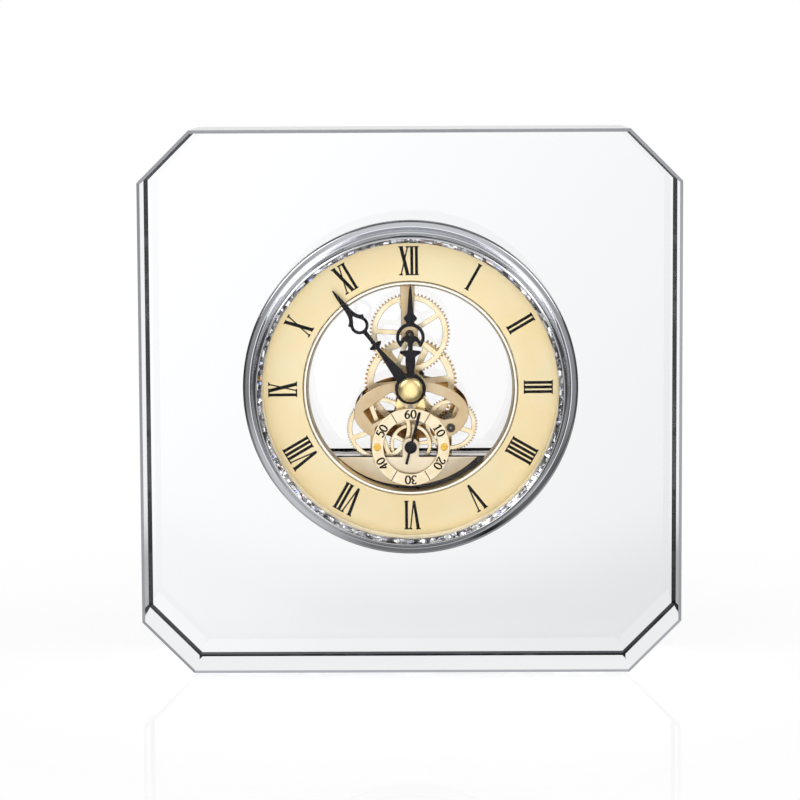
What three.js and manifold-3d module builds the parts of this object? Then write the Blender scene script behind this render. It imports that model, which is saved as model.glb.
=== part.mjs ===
// Crystal table clock: a thick bevelled glass block with a see-through quartz clock in its bore.
// Millimetres, +Z up, the dial faces -Y, origin at the middle of the block's bottom face.
import * as THREE from 'three';
import { mergeVertices } from 'three/addons/utils/BufferGeometryUtils.js';
import Module from 'manifold-3d';

const wasm = await Module();
wasm.setup();

// Glass block
const blockWidth = 167;
const blockHeight = 168;
const blockDepth = 50;
const cornerCut = 16;
const edgeBevel = 1;
const boreRadius = 47;
const axisHeight = 89;

// Clearances
const slideGap = 0.1;
const seatGap = 0.3;
const runGap = 0.06;

// Bezel, lens and dial: y is counted from the block's front face, minus is towards the viewer
const flangeStrip = 2.3;
const flangeThickness = 1.8;
const bezelHeight = 15;
const bezelWall = 1.8;
const bezelSeat = 0.4;
const lipReach = 1.0;
const lipWidth = 1.0;
const lipThickness = 0.5;
const lensThickness = 1.6;
const lensBevel = 0.5;
const spacerWall = 1.7;
const spacerFoot = 0.5;
const spacerLead = 0.5;
const dialWidth = 12.5;
const dialThickness = 0.8;
const trimWidth = 1.4;
const trimStand = 0.4;
const mountFlange = 1.4;
const mountThickness = 2.7;

// Case that fills the bore
const sleeveWall = 1;
const sleeveFit = 1;
const gripLength = 8;
const gripStart = 6;
const coverSeat = 0.4;
const coverThickness = 1.2;
const coverHoleRadius = 1.6;
const bossRadius = 2.2;
const bossLength = 5.5;
const screwRadius = 0.8;
const screwHeadRadius = 1.7;
const screwHeadHeight = 0.8;
const screwSlot = 0.35;

// Plates of the movement
const plateThickness = 1;
const plateHalfWidth = 17.6;
const plateHalfHeight = 10;
const plateMiddle = [0.2, -7.9];
const plateSpacing = 16.5;
const armWidth = 2.4;
const armSeat = 1.6;
const bridgeWidth = 4.4;
const bridgeOffset = -0.85;
const bridgeThickness = 1.2;
const bridgeHeadRadius = 2.6;
const bridgeReach = 36;
const segmentTop = -21.6;
const segmentThickness = 0.8;
const lugRadius = 2.6;
const pillarRadius = 0.5;
const pillarPlace = [-15.2, -3.9];
const jewelRadius = 1.24;
const jewelStand = 0.2;

// Seconds sub-dial
const secondsDrop = 18.35;
const subdialRadius = 12;
const subdialHoleRadius = 8.4;
const subdialThickness = 0.6;
const subdialScrewReach = 10.3;
const subdialScrewRadius = 0.5;
const subdialScrewHead = 1.1;

// Going train
const trainModule = 0.44;
const centreTeeth = 64;
const upperPinionTeeth = 10;
const rightPinionTeeth = 16;
const thirdPinionTeeth = 10;
const thirdTeeth = 75;
const thirdModule = 0.265;
const secondsPinionTeeth = 8;
const secondsTeeth = 60;
const secondsModule = 0.22;
const stepModule = 0.18;
const stepPinionTeeth = 10;
const stepTeeth = 30;
const rotorPinionTeeth = 6;
const upperTeeth = 64;
const upperModule = 0.38;
const rightTeeth = 54;
const rightModule = 0.3;
const upperBearing = -0.7;
const rightBearing = 135.4;
const stepBearing = 170;
const rotorBearing = 91;
const wheelThickness = 0.8;
const arborRadius = 0.55;
const pivotRadius = 0.3;
const hubRadius = 1.8;
const hubStep = 2.4;
const layerStep = 1.6;
const toothTop = 0.85;
const toothRoot = 1.25;
const leafTop = 0.04;
const leafFoot = 0.17;

// Motion work under the hands
const motionModule = 0.25;
const hourModule = 0.24;
const cannonTeeth = 12;
const minuteWheelTeeth = 36;
const minutePinionTeeth = 10;
const hourTeeth = 40;
const minuteArborRadius = 0.9;
const hourTubeRadius = 1.6;
const minuteStudRadius = 0.5;

// Hands and their angles at rest, in degrees clockwise from twelve
const handThickness = 0.5;
const hourHandAngle = 0.2;
const minuteHandAngle = -38;
const secondsHandAngle = 14.5;
const hourHandLength = 32.3;
const minuteHandLength = 39.3;
const secondsHandLength = 11.1;
const secondsTailLength = 5.4;
const secondsBossRadius = 1.9;
const hourHubRadius = 4.73;
const minuteHubRadius = 4.1;
const nutRadius = 3.8;
const nutHeight = 2.5;
const handGap = 0.8;

// Quartz unit in its case behind the segment plate
const batteryRadius = 5.25;
const batteryLength = 44.5;
const batteryDrop = 31.3;
const unitWall = 1;
const unitDepth = 21.8;
const contactThickness = 0.4;
const coilRadius = 2.4;
const coilLength = 11;
const coilDrop = 36.5;
const rotorRadius = 2;
const statorHoleRadius = 2.6;
const statorAbove = 2.8;
const statorBelow = 3.6;
const statorLeg = 3;
const statorSheet = 1;
const coilGap = 0.4;
const boardThickness = 0.8;
const boardReach = 22;
const postRadius = 0.9;
const crystalCanRadius = 1;
const crystalCanLength = 6;
const knobRadius = 4.5;
const knobLength = 5;

// Facets
const roundSides = 48;
const midSides = 20;
const smallSides = 12;

// Places along the axis, from the block's front face
const lensBack = -bezelHeight + lipThickness + lensThickness;
const mountFront = 1 - mountThickness;
const dialFront = mountFront - dialThickness;
const plateFront = 0;
const plateBack = plateFront + plateThickness;
const segmentBack = plateBack + segmentThickness;
const subdialFront = plateFront - subdialThickness;
const secondsHandBack = subdialFront - 0.6;
const hourWheelFront = plateBack + 0.6;
const minuteWheelFront = hourWheelFront + wheelThickness + 0.6;
const thirdFront = minuteWheelFront + 1.4;
const secondsFront = thirdFront + layerStep;
const stepFront = secondsFront + layerStep;
const rightFront = stepFront + 1.4;
const centreFront = rightFront + 5.5;
const statorFront = stepFront + wheelThickness + 0.6;
const rearPlateFront = plateBack + plateSpacing;
const rearPlateBack = rearPlateFront + plateThickness;

const hourHandBack = secondsHandBack - handThickness - 2.4;
const minuteHandBack = hourHandBack - handThickness - handGap;
const nutBack = minuteHandBack - handThickness;
const unitFront = segmentBack;
const unitBack = unitFront + unitDepth;
const boardBack = unitFront + 5;
const coverFront = unitBack + coverSeat;
const sleeveLength = coverFront;
const rearBridgeFront = sleeveLength - bossLength - bridgeThickness;
const coverBack = coverFront + coverThickness;
const knobFront = coverBack + 0.8;

// Radii that follow from the bore and the bezel
const sleeveOuter = boreRadius - sleeveFit;
const sleeveInner = sleeveOuter - sleeveWall;
const bezelInner = boreRadius + bezelSeat;
const lipRadius = bezelInner - lipReach;
const grooveRadius = bezelInner + bezelWall;
const flangeRadius = grooveRadius + flangeStrip;
const lensRadius = bezelInner - slideGap;
const spacerInner = lensRadius - spacerWall;
const dialRadius = spacerInner - slideGap;
const dialHoleRadius = dialRadius - dialWidth;
const trimOuter = dialHoleRadius - slideGap;
const trimRadius = trimOuter - trimWidth;
const mountRadius = sleeveInner - slideGap;
const unitRadius = sleeveInner - seatGap;
const bossReach = sleeveInner - bossRadius + sleeveWall / 2;

// Distances between the arbors, from the tooth counts
const pitchSum = (a, b, module) => module * (a + b) / 2;
const polar = (reach, degrees) => {
  const turn = THREE.MathUtils.degToRad(degrees);
  return [reach * Math.sin(turn), reach * Math.cos(turn)];
};
const addPlaces = (a, b) => [a[0] + b[0], a[1] + b[1]];
const secondsAxis = [0, -secondsDrop];
const upperAxis = polar(pitchSum(centreTeeth, upperPinionTeeth, trainModule), upperBearing);
const rightAxis = polar(pitchSum(centreTeeth, rightPinionTeeth, trainModule), rightBearing);
const thirdReach = pitchSum(centreTeeth, thirdPinionTeeth, trainModule);
const thirdToSeconds = pitchSum(thirdTeeth, secondsPinionTeeth, thirdModule);
const thirdZ = -(thirdReach ** 2 + secondsDrop ** 2 - thirdToSeconds ** 2) / (2 * secondsDrop);
const thirdAxis = [-Math.sqrt(thirdReach ** 2 - thirdZ ** 2), thirdZ];
const stepReach = pitchSum(secondsTeeth, stepPinionTeeth, secondsModule);
const stepAxis = addPlaces(secondsAxis, polar(stepReach, stepBearing));
const rotorReach = pitchSum(stepTeeth, rotorPinionTeeth, stepModule);
const rotorAxis = addPlaces(stepAxis, polar(rotorReach, rotorBearing));
const minuteStudDrop = pitchSum(cannonTeeth, minuteWheelTeeth, motionModule);
const minuteStud = [0, -minuteStudDrop];

// Materials
const metal = (color, roughness, metalness = 1) =>
  new THREE.MeshStandardMaterial({ color, roughness, metalness });
const glass = new THREE.MeshStandardMaterial({
  color: 0xf2f4f6, roughness: 0.05, transparent: true, opacity: 0.35,
});
const clearPlastic = new THREE.MeshStandardMaterial({
  color: 0xf4f2ee, roughness: 0.15, transparent: true, opacity: 0.35,
});
const chrome = metal(0xd0d2d6, 0.1);
const goldDial = metal(0xf3dfa5, 0.45);
const champagne = metal(0xe6cfa2, 0.35);
const paleGold = metal(0xefe0c0, 0.3);
const brass = metal(0xd9b45a, 0.3);
const steel = metal(0x9a9088, 0.35);
const blackPaint = metal(0x1c1b1f, 0.45, 0.2);
const darkPlastic = metal(0x2c221c, 0.3, 0);
const greyPlastic = metal(0x8b8c8e, 0.6, 0);
const rubber = metal(0x2a2a2c, 0.9, 0);
const copper = metal(0xb0693a, 0.4);
const boardGreen = metal(0x2e5a3c, 0.6, 0);

// Solids: every piece goes through this, so that its faces point out and its corners are shared
function toSolid(geometry) {
  const bare = geometry.clone();
  bare.deleteAttribute('normal');
  bare.deleteAttribute('uv');
  const merged = mergeVertices(bare, 1e-5);
  const place = merged.getAttribute('position').array;
  const corners = merged.getIndex().array;
  const kept = [];
  let volume = 0;
  const a = new THREE.Vector3();
  const b = new THREE.Vector3();
  const c = new THREE.Vector3();
  for (let i = 0; i < corners.length; i += 3) {
    const [p, q, r] = [corners[i], corners[i + 1], corners[i + 2]];
    if (p === q || q === r || r === p) continue;
    kept.push(p, q, r);
    a.fromArray(place, 3 * p);
    b.fromArray(place, 3 * q);
    c.fromArray(place, 3 * r);
    volume += a.dot(b.cross(c));
  }
  if (volume < 0) kept.reverse();
  return new wasm.Manifold(new wasm.Mesh({
    numProp: 3,
    vertProperties: new Float32Array(place),
    triVerts: new Uint32Array(kept),
  }));
}

function toGeometry(solid) {
  const mesh = solid.getMesh();
  const geometry = new THREE.BufferGeometry();
  geometry.setAttribute('position', new THREE.BufferAttribute(new Float32Array(mesh.vertProperties), 3));
  geometry.setIndex(new THREE.BufferAttribute(new Uint32Array(mesh.triVerts), 1));
  geometry.computeVertexNormals();
  return geometry;
}

const joined = solids => solids.reduce((whole, one) => whole.add(one));
const cutFrom = (solid, cutters) => cutters.reduce((left, one) => left.subtract(one), solid);

// A turned solid about the y axis: points are [radius, y] round a closed section
function turned(points, sides = roundSides, x = 0, z = 0) {
  const first = points[0];
  const onAxis = points.some(p => p[0] === 0);
  const section = points.map(p => new THREE.Vector2(p[0], p[1]));
  if (!onAxis) section.push(new THREE.Vector2(first[0], first[1]));
  const geometry = new THREE.LatheGeometry(section, sides);
  geometry.translate(x, 0, z);
  return toSolid(geometry);
}

// A rod along y from one place to the other
const rod = (radius, from, to, sides = smallSides, x = 0, z = 0) =>
  turned([[0, from], [radius, from], [radius, to], [0, to]], sides, x, z);

const ring = (inner, outer, from, to, sides = roundSides, x = 0, z = 0) =>
  turned([[inner, from], [outer, from], [outer, to], [inner, to]], sides, x, z);

// A flat piece seen from the front: the shape's x and y are the clock's x and z
function flat(shape, front, thickness) {
  const geometry = new THREE.ExtrudeGeometry(shape, { depth: thickness, bevelEnabled: false });
  geometry.rotateX(Math.PI / 2);
  geometry.translate(0, front + thickness, 0);
  return toSolid(geometry);
}

function box(low, high) {
  const size = high.map((value, i) => value - low[i]);
  const geometry = new THREE.BoxGeometry(...size);
  geometry.translate(...high.map((value, i) => (value + low[i]) / 2));
  return toSolid(geometry);
}

// A shape through its corners, always wound the same way so that its holes come out right
function polygon(points) {
  const corners = points.map(p => new THREE.Vector2(p[0], p[1]));
  if (THREE.ShapeUtils.isClockWise(corners)) corners.reverse();
  return new THREE.Shape(corners);
}

// Points on an arc, angles in degrees clockwise from straight up
function arc(radius, from, to, steps, middle = [0, 0]) {
  const turns = Array.from({ length: steps + 1 }, (_, i) => from + (to - from) * i / steps);
  return turns.map(turn => addPlaces(middle, polar(radius, turn)));
}

const circlePoints = (radius, sides, middle) => arc(radius, 0, 360, sides, middle).slice(1);
const disc = (radius, sides = midSides, middle = [0, 0]) => polygon(circlePoints(radius, sides, middle));
const hole = (points) => new THREE.Path(points.map(p => new THREE.Vector2(p[0], p[1])));
const roundHole = (radius, sides = smallSides, middle = [0, 0]) => hole(circlePoints(radius, sides, middle));

// Scene graph
const clock = new THREE.Group();
const insert = new THREE.Group();
insert.position.set(0, -blockDepth / 2, axisHeight);
clock.add(insert);

function add(name, solid, material, parent = insert) {
  const mesh = new THREE.Mesh(toGeometry(solid), material);
  mesh.name = name;
  parent.add(mesh);
  return mesh;
}

// A group that turns about an arbor, with its angle at rest in degrees clockwise
function turning(axis, degrees = 0) {
  const group = new THREE.Group();
  group.position.set(axis[0], 0, axis[1]);
  group.rotation.y = THREE.MathUtils.degToRad(degrees);
  insert.add(group);
  return group;
}

// Glass block: square with cut corners, every edge of both faces bevelled
function blockShape(inset) {
  const x = blockWidth / 2 - inset;
  const top = blockHeight - inset;
  const cut = cornerCut - inset * (2 - Math.SQRT2);
  return polygon([
    [x - cut, inset], [x, inset + cut], [x, top - cut], [x - cut, top],
    [cut - x, top], [-x, top - cut], [-x, inset + cut], [cut - x, inset],
  ]);
}

function buildBlock() {
  const outer = blockShape(0).getPoints();
  const inner = blockShape(edgeBevel).getPoints();
  const levels = [
    [inner, -blockDepth / 2], [outer, edgeBevel - blockDepth / 2],
    [outer, blockDepth / 2 - edgeBevel], [inner, blockDepth / 2],
  ];
  const count = outer.length;
  const places = levels.flatMap(([points, y]) => points.map(p => [p.x, y, p.y])).flat();
  const faces = [];
  for (let level = 0; level < levels.length - 1; level++) {
    for (let i = 0; i < count; i++) {
      const next = (i + 1) % count;
      const here = level * count;
      faces.push(here + i, here + next, here + count + i);
      faces.push(here + next, here + count + next, here + count + i);
    }
  }
  const back = (levels.length - 1) * count;
  for (let i = 1; i < count - 1; i++) {
    faces.push(0, i + 1, i);
    faces.push(back, back + i, back + i + 1);
  }
  const geometry = new THREE.BufferGeometry();
  geometry.setAttribute('position', new THREE.Float32BufferAttribute(places, 3));
  geometry.setIndex(faces);
  const reach = blockDepth / 2 + 1;
  const bore = rod(boreRadius, -reach, reach, roundSides, 0, axisHeight);
  add('crystal_block', toSolid(geometry).subtract(bore), glass, clock);
}

// Bezel with a flat flange, a groove and a curved wall up to the lip that holds the lens
function buildBezel() {
  const lipOuter = lipRadius + lipWidth;
  const profile = [
    [bezelInner, 0],
    [flangeRadius, 0],
    [flangeRadius, 0.4 - flangeThickness],
    [flangeRadius - 0.4, -flangeThickness],
    [grooveRadius, -flangeThickness - 0.4],
    [grooveRadius - 0.1, -flangeThickness + 0.2],
    [grooveRadius - 0.4, -flangeThickness + 0.2],
    [grooveRadius - 0.5, -bezelHeight * 0.4],
    [grooveRadius - 0.9, -bezelHeight * 0.8],
    [lipOuter + 0.4, -bezelHeight + 0.9],
    [lipOuter, -bezelHeight + 0.3],
    [lipOuter - 0.3, -bezelHeight],
    [lipRadius, -bezelHeight + 0.1],
    [lipRadius, -bezelHeight + lipThickness],
    [bezelInner, -bezelHeight + lipThickness],
  ];
  add('bezel', turned(profile), chrome);
  const lensFront = -bezelHeight + lipThickness;
  add('lens', turned([
    [0, lensFront], [lensRadius, lensFront], [lensRadius, lensBack - lensBevel],
    [lensRadius - lensBevel, lensBack], [0, lensBack],
  ]), glass);
  // The clear ring stands on the dial's edge, with a bevelled mouth under the lens
  const foot = dialFront - slideGap;
  add('lens_spacer', turned([
    [spacerInner, mountFront], [lensRadius, mountFront], [lensRadius, lensBack],
    [lipRadius, lensBack], [spacerInner - spacerFoot, lensBack + spacerLead],
    [spacerInner - spacerFoot, foot], [spacerInner, foot],
  ]), clearPlastic);
}

// Dial ring, its plated inner trim and the ring that carries them
function buildDial() {
  add('dial_ring', ring(dialHoleRadius, dialRadius, dialFront, mountFront), goldDial);
  add('dial_inner_ring', ring(trimRadius, trimOuter, dialFront - trimStand, plateBack), chrome);
  add('mounting_ring', turned([
    [dialHoleRadius, mountFront], [lensRadius, mountFront], [lensRadius, mountFront + mountFlange],
    [mountRadius, mountFront + mountFlange], [mountRadius, plateBack], [dialHoleRadius, plateBack],
  ]), darkPlastic);
}

const bossPlaces = [0, 80, -80].map(turn => polar(bossReach, turn));

function buildCase() {
  const sleeveFront = mountFront + mountFlange;
  const sleeve = ring(sleeveInner, sleeveOuter, sleeveFront, sleeveLength);
  const bosses = bossPlaces.map(([x, z]) =>
    rod(bossRadius, sleeveLength - bossLength, sleeveLength, smallSides, x, z));
  const inside = rod(sleeveOuter - sleeveWall / 2, 0, sleeveLength, roundSides);
  const holes = bossPlaces.map(([x, z]) =>
    rod(screwRadius + slideGap, sleeveLength - bossLength + 1, sleeveLength + 1, smallSides, x, z));
  const trimmed = bosses.map(boss => boss.intersect(inside));
  add('case_sleeve', cutFrom(joined([sleeve, ...trimmed]), holes), clearPlastic);
  const grip = ring(sleeveOuter + slideGap, boreRadius - slideGap, gripStart, gripStart + gripLength);
  add('grip_ring', grip, rubber);
}

// Battery opening in the rear: half width, top and bottom
const cavityHalf = batteryLength / 2 + 1.15;
const cavityTop = -batteryDrop + batteryRadius + 0.1;
const cavityBottom = -batteryDrop - batteryRadius - 0.1;
const batteryMiddle = unitBack - 0.2 - batteryRadius;

function buildCover() {
  const holes = bossPlaces.map(([x, z]) =>
    rod(screwRadius + slideGap, coverFront - 1, coverBack + 1, smallSides, x, z));
  const opening = box([-cavityHalf, coverFront - 1, cavityBottom], [cavityHalf, coverBack + 1, cavityTop]);
  const spindle = rod(coverHoleRadius, coverFront - 1, coverBack + 1);
  const cover = rod(sleeveOuter, coverFront, coverBack, roundSides);
  add('back_cover', cutFrom(cover, [...holes, opening, spindle]), clearPlastic);
  const names = ['cover_screw_top', 'cover_screw_right', 'cover_screw_left'];
  const headBack = coverBack + screwHeadHeight;
  bossPlaces.forEach(([x, z], i) => {
    const shank = rod(screwRadius, sleeveLength - 4, coverBack, smallSides, x, z);
    const head = rod(screwHeadRadius, coverBack, headBack, smallSides, x, z);
    const slot = box([x - 3, headBack - screwSlot, z - 0.2], [x + 3, headBack + 1, z + 0.2]);
    add(names[i], joined([shank, head]).subtract(slot), steel);
  });
}

// Battery door: a plate that fills the opening, a spigot that goes into the unit and a finger tab
function buildDoor() {
  const half = cavityHalf - seatGap;
  const low = cavityBottom + seatGap;
  const high = cavityTop - seatGap;
  const plate = box([-half, coverFront, low], [half, coverBack, high]);
  const tab = box([-5, coverBack - 0.2, low + 2], [5, coverBack + 1.8, low + 3.2]);
  add('battery_door', joined([plate, tab]), darkPlastic);
}

// Plates of the movement
function ellipsePoints(steps) {
  return Array.from({ length: steps }, (_, i) => {
    const [x, z] = polar(1, 360 * i / steps);
    return [plateMiddle[0] + plateHalfWidth * x, plateMiddle[1] + plateHalfHeight * z];
  });
}

// Window edges of the front plate, corner by corner
const leftWindow = [
  [-14.6, -7.4], [-5.6, -1.2], [-1.2, -6.9], [-4.6, -7.5], [-8.4, -9.6], [-11.8, -11.4],
];
const rightWindow = [
  [4.8, -1.1], [10.1, -2.9], [14.8, -6.6], [13.7, -9.4], [9.8, -10.1], [4.8, -7.5], [1.2, -6.9],
];
const armTop = plateMiddle[1] - plateHalfHeight * 0.6;
const armBottom = segmentTop - armSeat;

function buildFrontPlate() {
  const body = flat(polygon(ellipsePoints(40)), plateFront, plateThickness);
  const arms = [-1, 1].map(side => box(
    [side * subdialScrewReach - armWidth / 2, plateFront, armBottom],
    [side * subdialScrewReach + armWidth / 2, plateBack, armTop]));
  const dialHole = disc(subdialHoleRadius + 0.5, 32, secondsAxis);
  const windows = [polygon(leftWindow), polygon(rightWindow), disc(hourTubeRadius + 0.3), dialHole];
  const jewels = [rightAxis, thirdAxis].map(place => disc(jewelRadius + slideGap, smallSides, place));
  const screws = [-1, 1].map(side =>
    disc(subdialScrewRadius + slideGap, 8, [side * subdialScrewReach, -secondsDrop]));
  const stud = disc(minuteStudRadius + slideGap, smallSides, minuteStud);
  const cuts = [...windows, ...jewels, ...screws, stud]
    .map(shape => flat(shape, plateFront - 1, plateThickness + 2));
  add('front_plate', cutFrom(joined([body, ...arms]), cuts), champagne);
}

function jewelSolid(front, back) {
  return ring(pivotRadius + runGap, jewelRadius, front, back, smallSides);
}

function buildJewels() {
  const places = { jewel_upper: upperAxis, jewel_right: rightAxis, jewel_left: thirdAxis };
  for (const [name, [x, z]] of Object.entries(places)) {
    const seat = name === 'jewel_upper' ? plateBack : plateFront;
    const thickness = name === 'jewel_upper' ? bridgeThickness : plateThickness;
    const stand = name === 'jewel_left' ? -slideGap : jewelStand;
    add(name, jewelSolid(seat - stand, seat + thickness), steel).position.set(x, 0, z);
  }
}

// A bridge from the rim down to the upper arbor
function bridgeShape(reach) {
  const half = bridgeWidth / 2;
  const shape = polygon([
    [bridgeOffset - half * 0.85, upperAxis[1]], [bridgeOffset + half * 0.85, upperAxis[1]],
    [bridgeOffset + half, trimRadius], [bridgeOffset + half, reach],
    [bridgeOffset - half, reach], [bridgeOffset - half, trimRadius],
  ]);
  return [shape, disc(bridgeHeadRadius, midSides, upperAxis)];
}

function buildBridges() {
  const bridgeBack = plateBack + bridgeThickness;
  const front = bridgeShape(bridgeReach).map(shape => flat(shape, plateBack, bridgeThickness));
  const jewelHole = rod(jewelRadius + slideGap, plateBack - 1, bridgeBack + 1, smallSides, ...upperAxis);
  add('upper_bridge', joined(front).subtract(jewelHole), champagne);
  const rearReach = bossReach + bossRadius - slideGap;
  const rearBack = rearBridgeFront + bridgeThickness;
  const rear = bridgeShape(rearReach).map(shape => flat(shape, rearBridgeFront, bridgeThickness));
  const pivot = rod(pivotRadius + runGap, rearBridgeFront - 1, rearBack + 1, smallSides, ...upperAxis);
  const rimCut = ring(sleeveInner - slideGap, boreRadius, rearBridgeFront - 1, rearBack + 1);
  add('rear_bridge', cutFrom(joined(rear), [pivot, rimCut]), paleGold);
}

// Segment plate: the lower part of a disc with a lug that carries the seconds arbor
function segmentOutline(radius, top, steps) {
  const turn = THREE.MathUtils.radToDeg(Math.acos(top / radius));
  return arc(radius, turn, 360 - turn, steps);
}

function buildSegment() {
  const plate = flat(polygon(segmentOutline(unitRadius, segmentTop, 28)), plateBack, segmentThickness);
  const lug = flat(disc(lugRadius, midSides, secondsAxis), plateBack, segmentThickness);
  const neck = box([-lugRadius, plateBack, segmentTop - 1], [lugRadius, segmentBack, -secondsDrop]);
  const pivot = rod(pivotRadius + runGap, plateBack - 1, segmentBack + 1, smallSides, ...secondsAxis);
  add('segment_plate', cutFrom(joined([plate, lug, neck]), [pivot]), champagne);
}

function buildRearPlate() {
  const body = flat(polygon(ellipsePoints(32)), rearPlateFront, plateThickness);
  const standTop = plateMiddle[1];
  const legs = [-1, 1].map(side => box(
    [side * subdialScrewReach - armWidth, rearPlateFront, segmentTop],
    [side * subdialScrewReach + armWidth, rearPlateBack, standTop]));
  const lug = flat(disc(lugRadius, midSides, secondsAxis), rearPlateFront, plateThickness);
  const neck = box([-lugRadius, rearPlateFront, -secondsDrop], [lugRadius, rearPlateBack, plateMiddle[1]]);
  const holes = [rightAxis, thirdAxis, secondsAxis].map(([x, z]) =>
    rod(pivotRadius + runGap, rearPlateFront - 1, rearPlateBack + 1, 8, x, z));
  const middle = rod(minuteArborRadius + runGap, rearPlateFront - 1, rearPlateBack + 1);
  const windows = [-1, 1].map(side => flat(
    polygon([[side * 4.4, -3], [side * 13, -5], [side * 12, -9], [side * 5.2, -9]]), rearPlateFront - 1, 3));
  add('rear_plate', cutFrom(joined([body, ...legs, lug, neck]), [...holes, middle, ...windows]), brass);
  const [x, z] = pillarPlace;
  add('plate_pillar', rod(pillarRadius, plateBack, rearPlateFront, smallSides, x, z), brass);
}

// Seconds sub-dial ring and its two slotted screws
function buildSubdial() {
  const screwHoles = [-1, 1].map(side =>
    roundHole(subdialScrewRadius + slideGap, smallSides, [side * subdialScrewReach, 0]));
  const shape = disc(subdialRadius, 40);
  shape.holes.push(roundHole(subdialHoleRadius, 40), ...screwHoles);
  const mesh = add('subdial_ring', flat(shape, subdialFront, subdialThickness), paleGold);
  mesh.position.z = -secondsDrop;
  for (const [name, side] of [['subdial_screw_left', -1], ['subdial_screw_right', 1]]) {
    const shank = rod(subdialScrewRadius, subdialFront, plateBack - 0.1, smallSides);
    const head = turned([
      [0, subdialFront], [subdialScrewHead, subdialFront],
      [subdialScrewHead * 0.8, subdialFront - 0.4], [0, subdialFront - 0.5],
    ], smallSides);
    const slot = box([-2, subdialFront - 1, -0.15], [2, subdialFront - 0.25, 0.15]);
    const screw = add(name, joined([shank, head]).subtract(slot), brass);
    screw.position.set(side * subdialScrewReach, 0, -secondsDrop);
  }
}

// Gear outlines, one tooth at twelve. Wheels have pointed teeth; pinion leaves are narrow with a flat top
const tipRadius = (teeth, module) => module * (teeth / 2 + toothTop);
const rootRadius = (teeth, module) => module * (teeth / 2 - toothRoot);

function wheelPoints(teeth, module) {
  const step = 360 / teeth;
  return Array.from({ length: teeth }, (_, i) => [
    polar(tipRadius(teeth, module), step * i),
    polar(rootRadius(teeth, module), step * (i + 0.5)),
  ]).flat();
}

function pinionPoints(teeth, module) {
  const step = 360 / teeth;
  const corners = [[-leafFoot, 0], [-leafTop, 1], [leafTop, 1], [leafFoot, 0]];
  const radii = [rootRadius(teeth, module), tipRadius(teeth, module)];
  return Array.from({ length: teeth }, (_, i) =>
    corners.map(([share, end]) => polar(radii[end], step * (i + share)))).flat();
}

function wheelShape(teeth, module, { bore, rim, hub = 2.2, spokes = 5, spoke = 0.8 }) {
  const shape = polygon(wheelPoints(teeth, module));
  shape.holes.push(roundHole(bore));
  const outer = rootRadius(teeth, module) - rim;
  const step = 360 / spokes;
  const aside = radius => THREE.MathUtils.radToDeg(Math.asin(spoke / radius));
  for (let i = 0; i < spokes; i++) {
    const start = step * i;
    const rimSide = arc(outer, start + aside(outer), start + step - aside(outer), 5);
    const hubSide = arc(hub, start + step - aside(hub), start + aside(hub), 2);
    shape.holes.push(hole([...rimSide, ...hubSide]));
  }
  return shape;
}

const wheel = (teeth, module, front, options) =>
  flat(wheelShape(teeth, module, options), front, wheelThickness);

const pinion = (teeth, module, from, to) => flat(polygon(pinionPoints(teeth, module)), from, to - from);

// An arbor with its pinion leaves and two thin pivots
function arbor(teeth, module, leaves, from, to, pivotLength = 1) {
  const shaft = rod(arborRadius, from, to, 10);
  const pivots = rod(pivotRadius, from - pivotLength, to + pivotLength, 10);
  return joined([pinion(teeth, module, leaves[0], leaves[1]), shaft, pivots]);
}

// The angle that puts a follower's tooth gap opposite the leader's tooth
function meshPhase(leaderAxis, leaderTeeth, leaderPhase, followerAxis, followerTeeth) {
  const dx = followerAxis[0] - leaderAxis[0];
  const dz = followerAxis[1] - leaderAxis[1];
  const bearing = THREE.MathUtils.radToDeg(Math.atan2(dx, dz));
  return bearing + 180 + 180 / followerTeeth + (bearing - leaderPhase) * leaderTeeth / followerTeeth;
}

const centreAxis = [0, 0];
const centrePhase = 0;
const upperPhase = meshPhase(centreAxis, centreTeeth, centrePhase, upperAxis, upperPinionTeeth);
const rightPhase = meshPhase(centreAxis, centreTeeth, centrePhase, rightAxis, rightPinionTeeth);
const thirdPhase = meshPhase(centreAxis, centreTeeth, centrePhase, thirdAxis, thirdPinionTeeth);
const secondsPhase = meshPhase(thirdAxis, thirdTeeth, thirdPhase, secondsAxis, secondsPinionTeeth);
const stepPhase = meshPhase(secondsAxis, secondsTeeth, secondsPhase, stepAxis, stepPinionTeeth);
const rotorPhase = meshPhase(stepAxis, stepTeeth, stepPhase, rotorAxis, rotorPinionTeeth);
const cannonPhase = 0;
const minuteWheelPhase = meshPhase(centreAxis, cannonTeeth, cannonPhase, minuteStud, minuteWheelTeeth);
const hourPhase = meshPhase(minuteStud, minutePinionTeeth, minuteWheelPhase, centreAxis, hourTeeth);

function addWheel(name, teeth, module, front, options, group) {
  const sizes = { bore: arborRadius + slideGap, rim: 1.3, ...options };
  add(name, wheel(teeth, module, front, sizes), paleGold, group);
}

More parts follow.
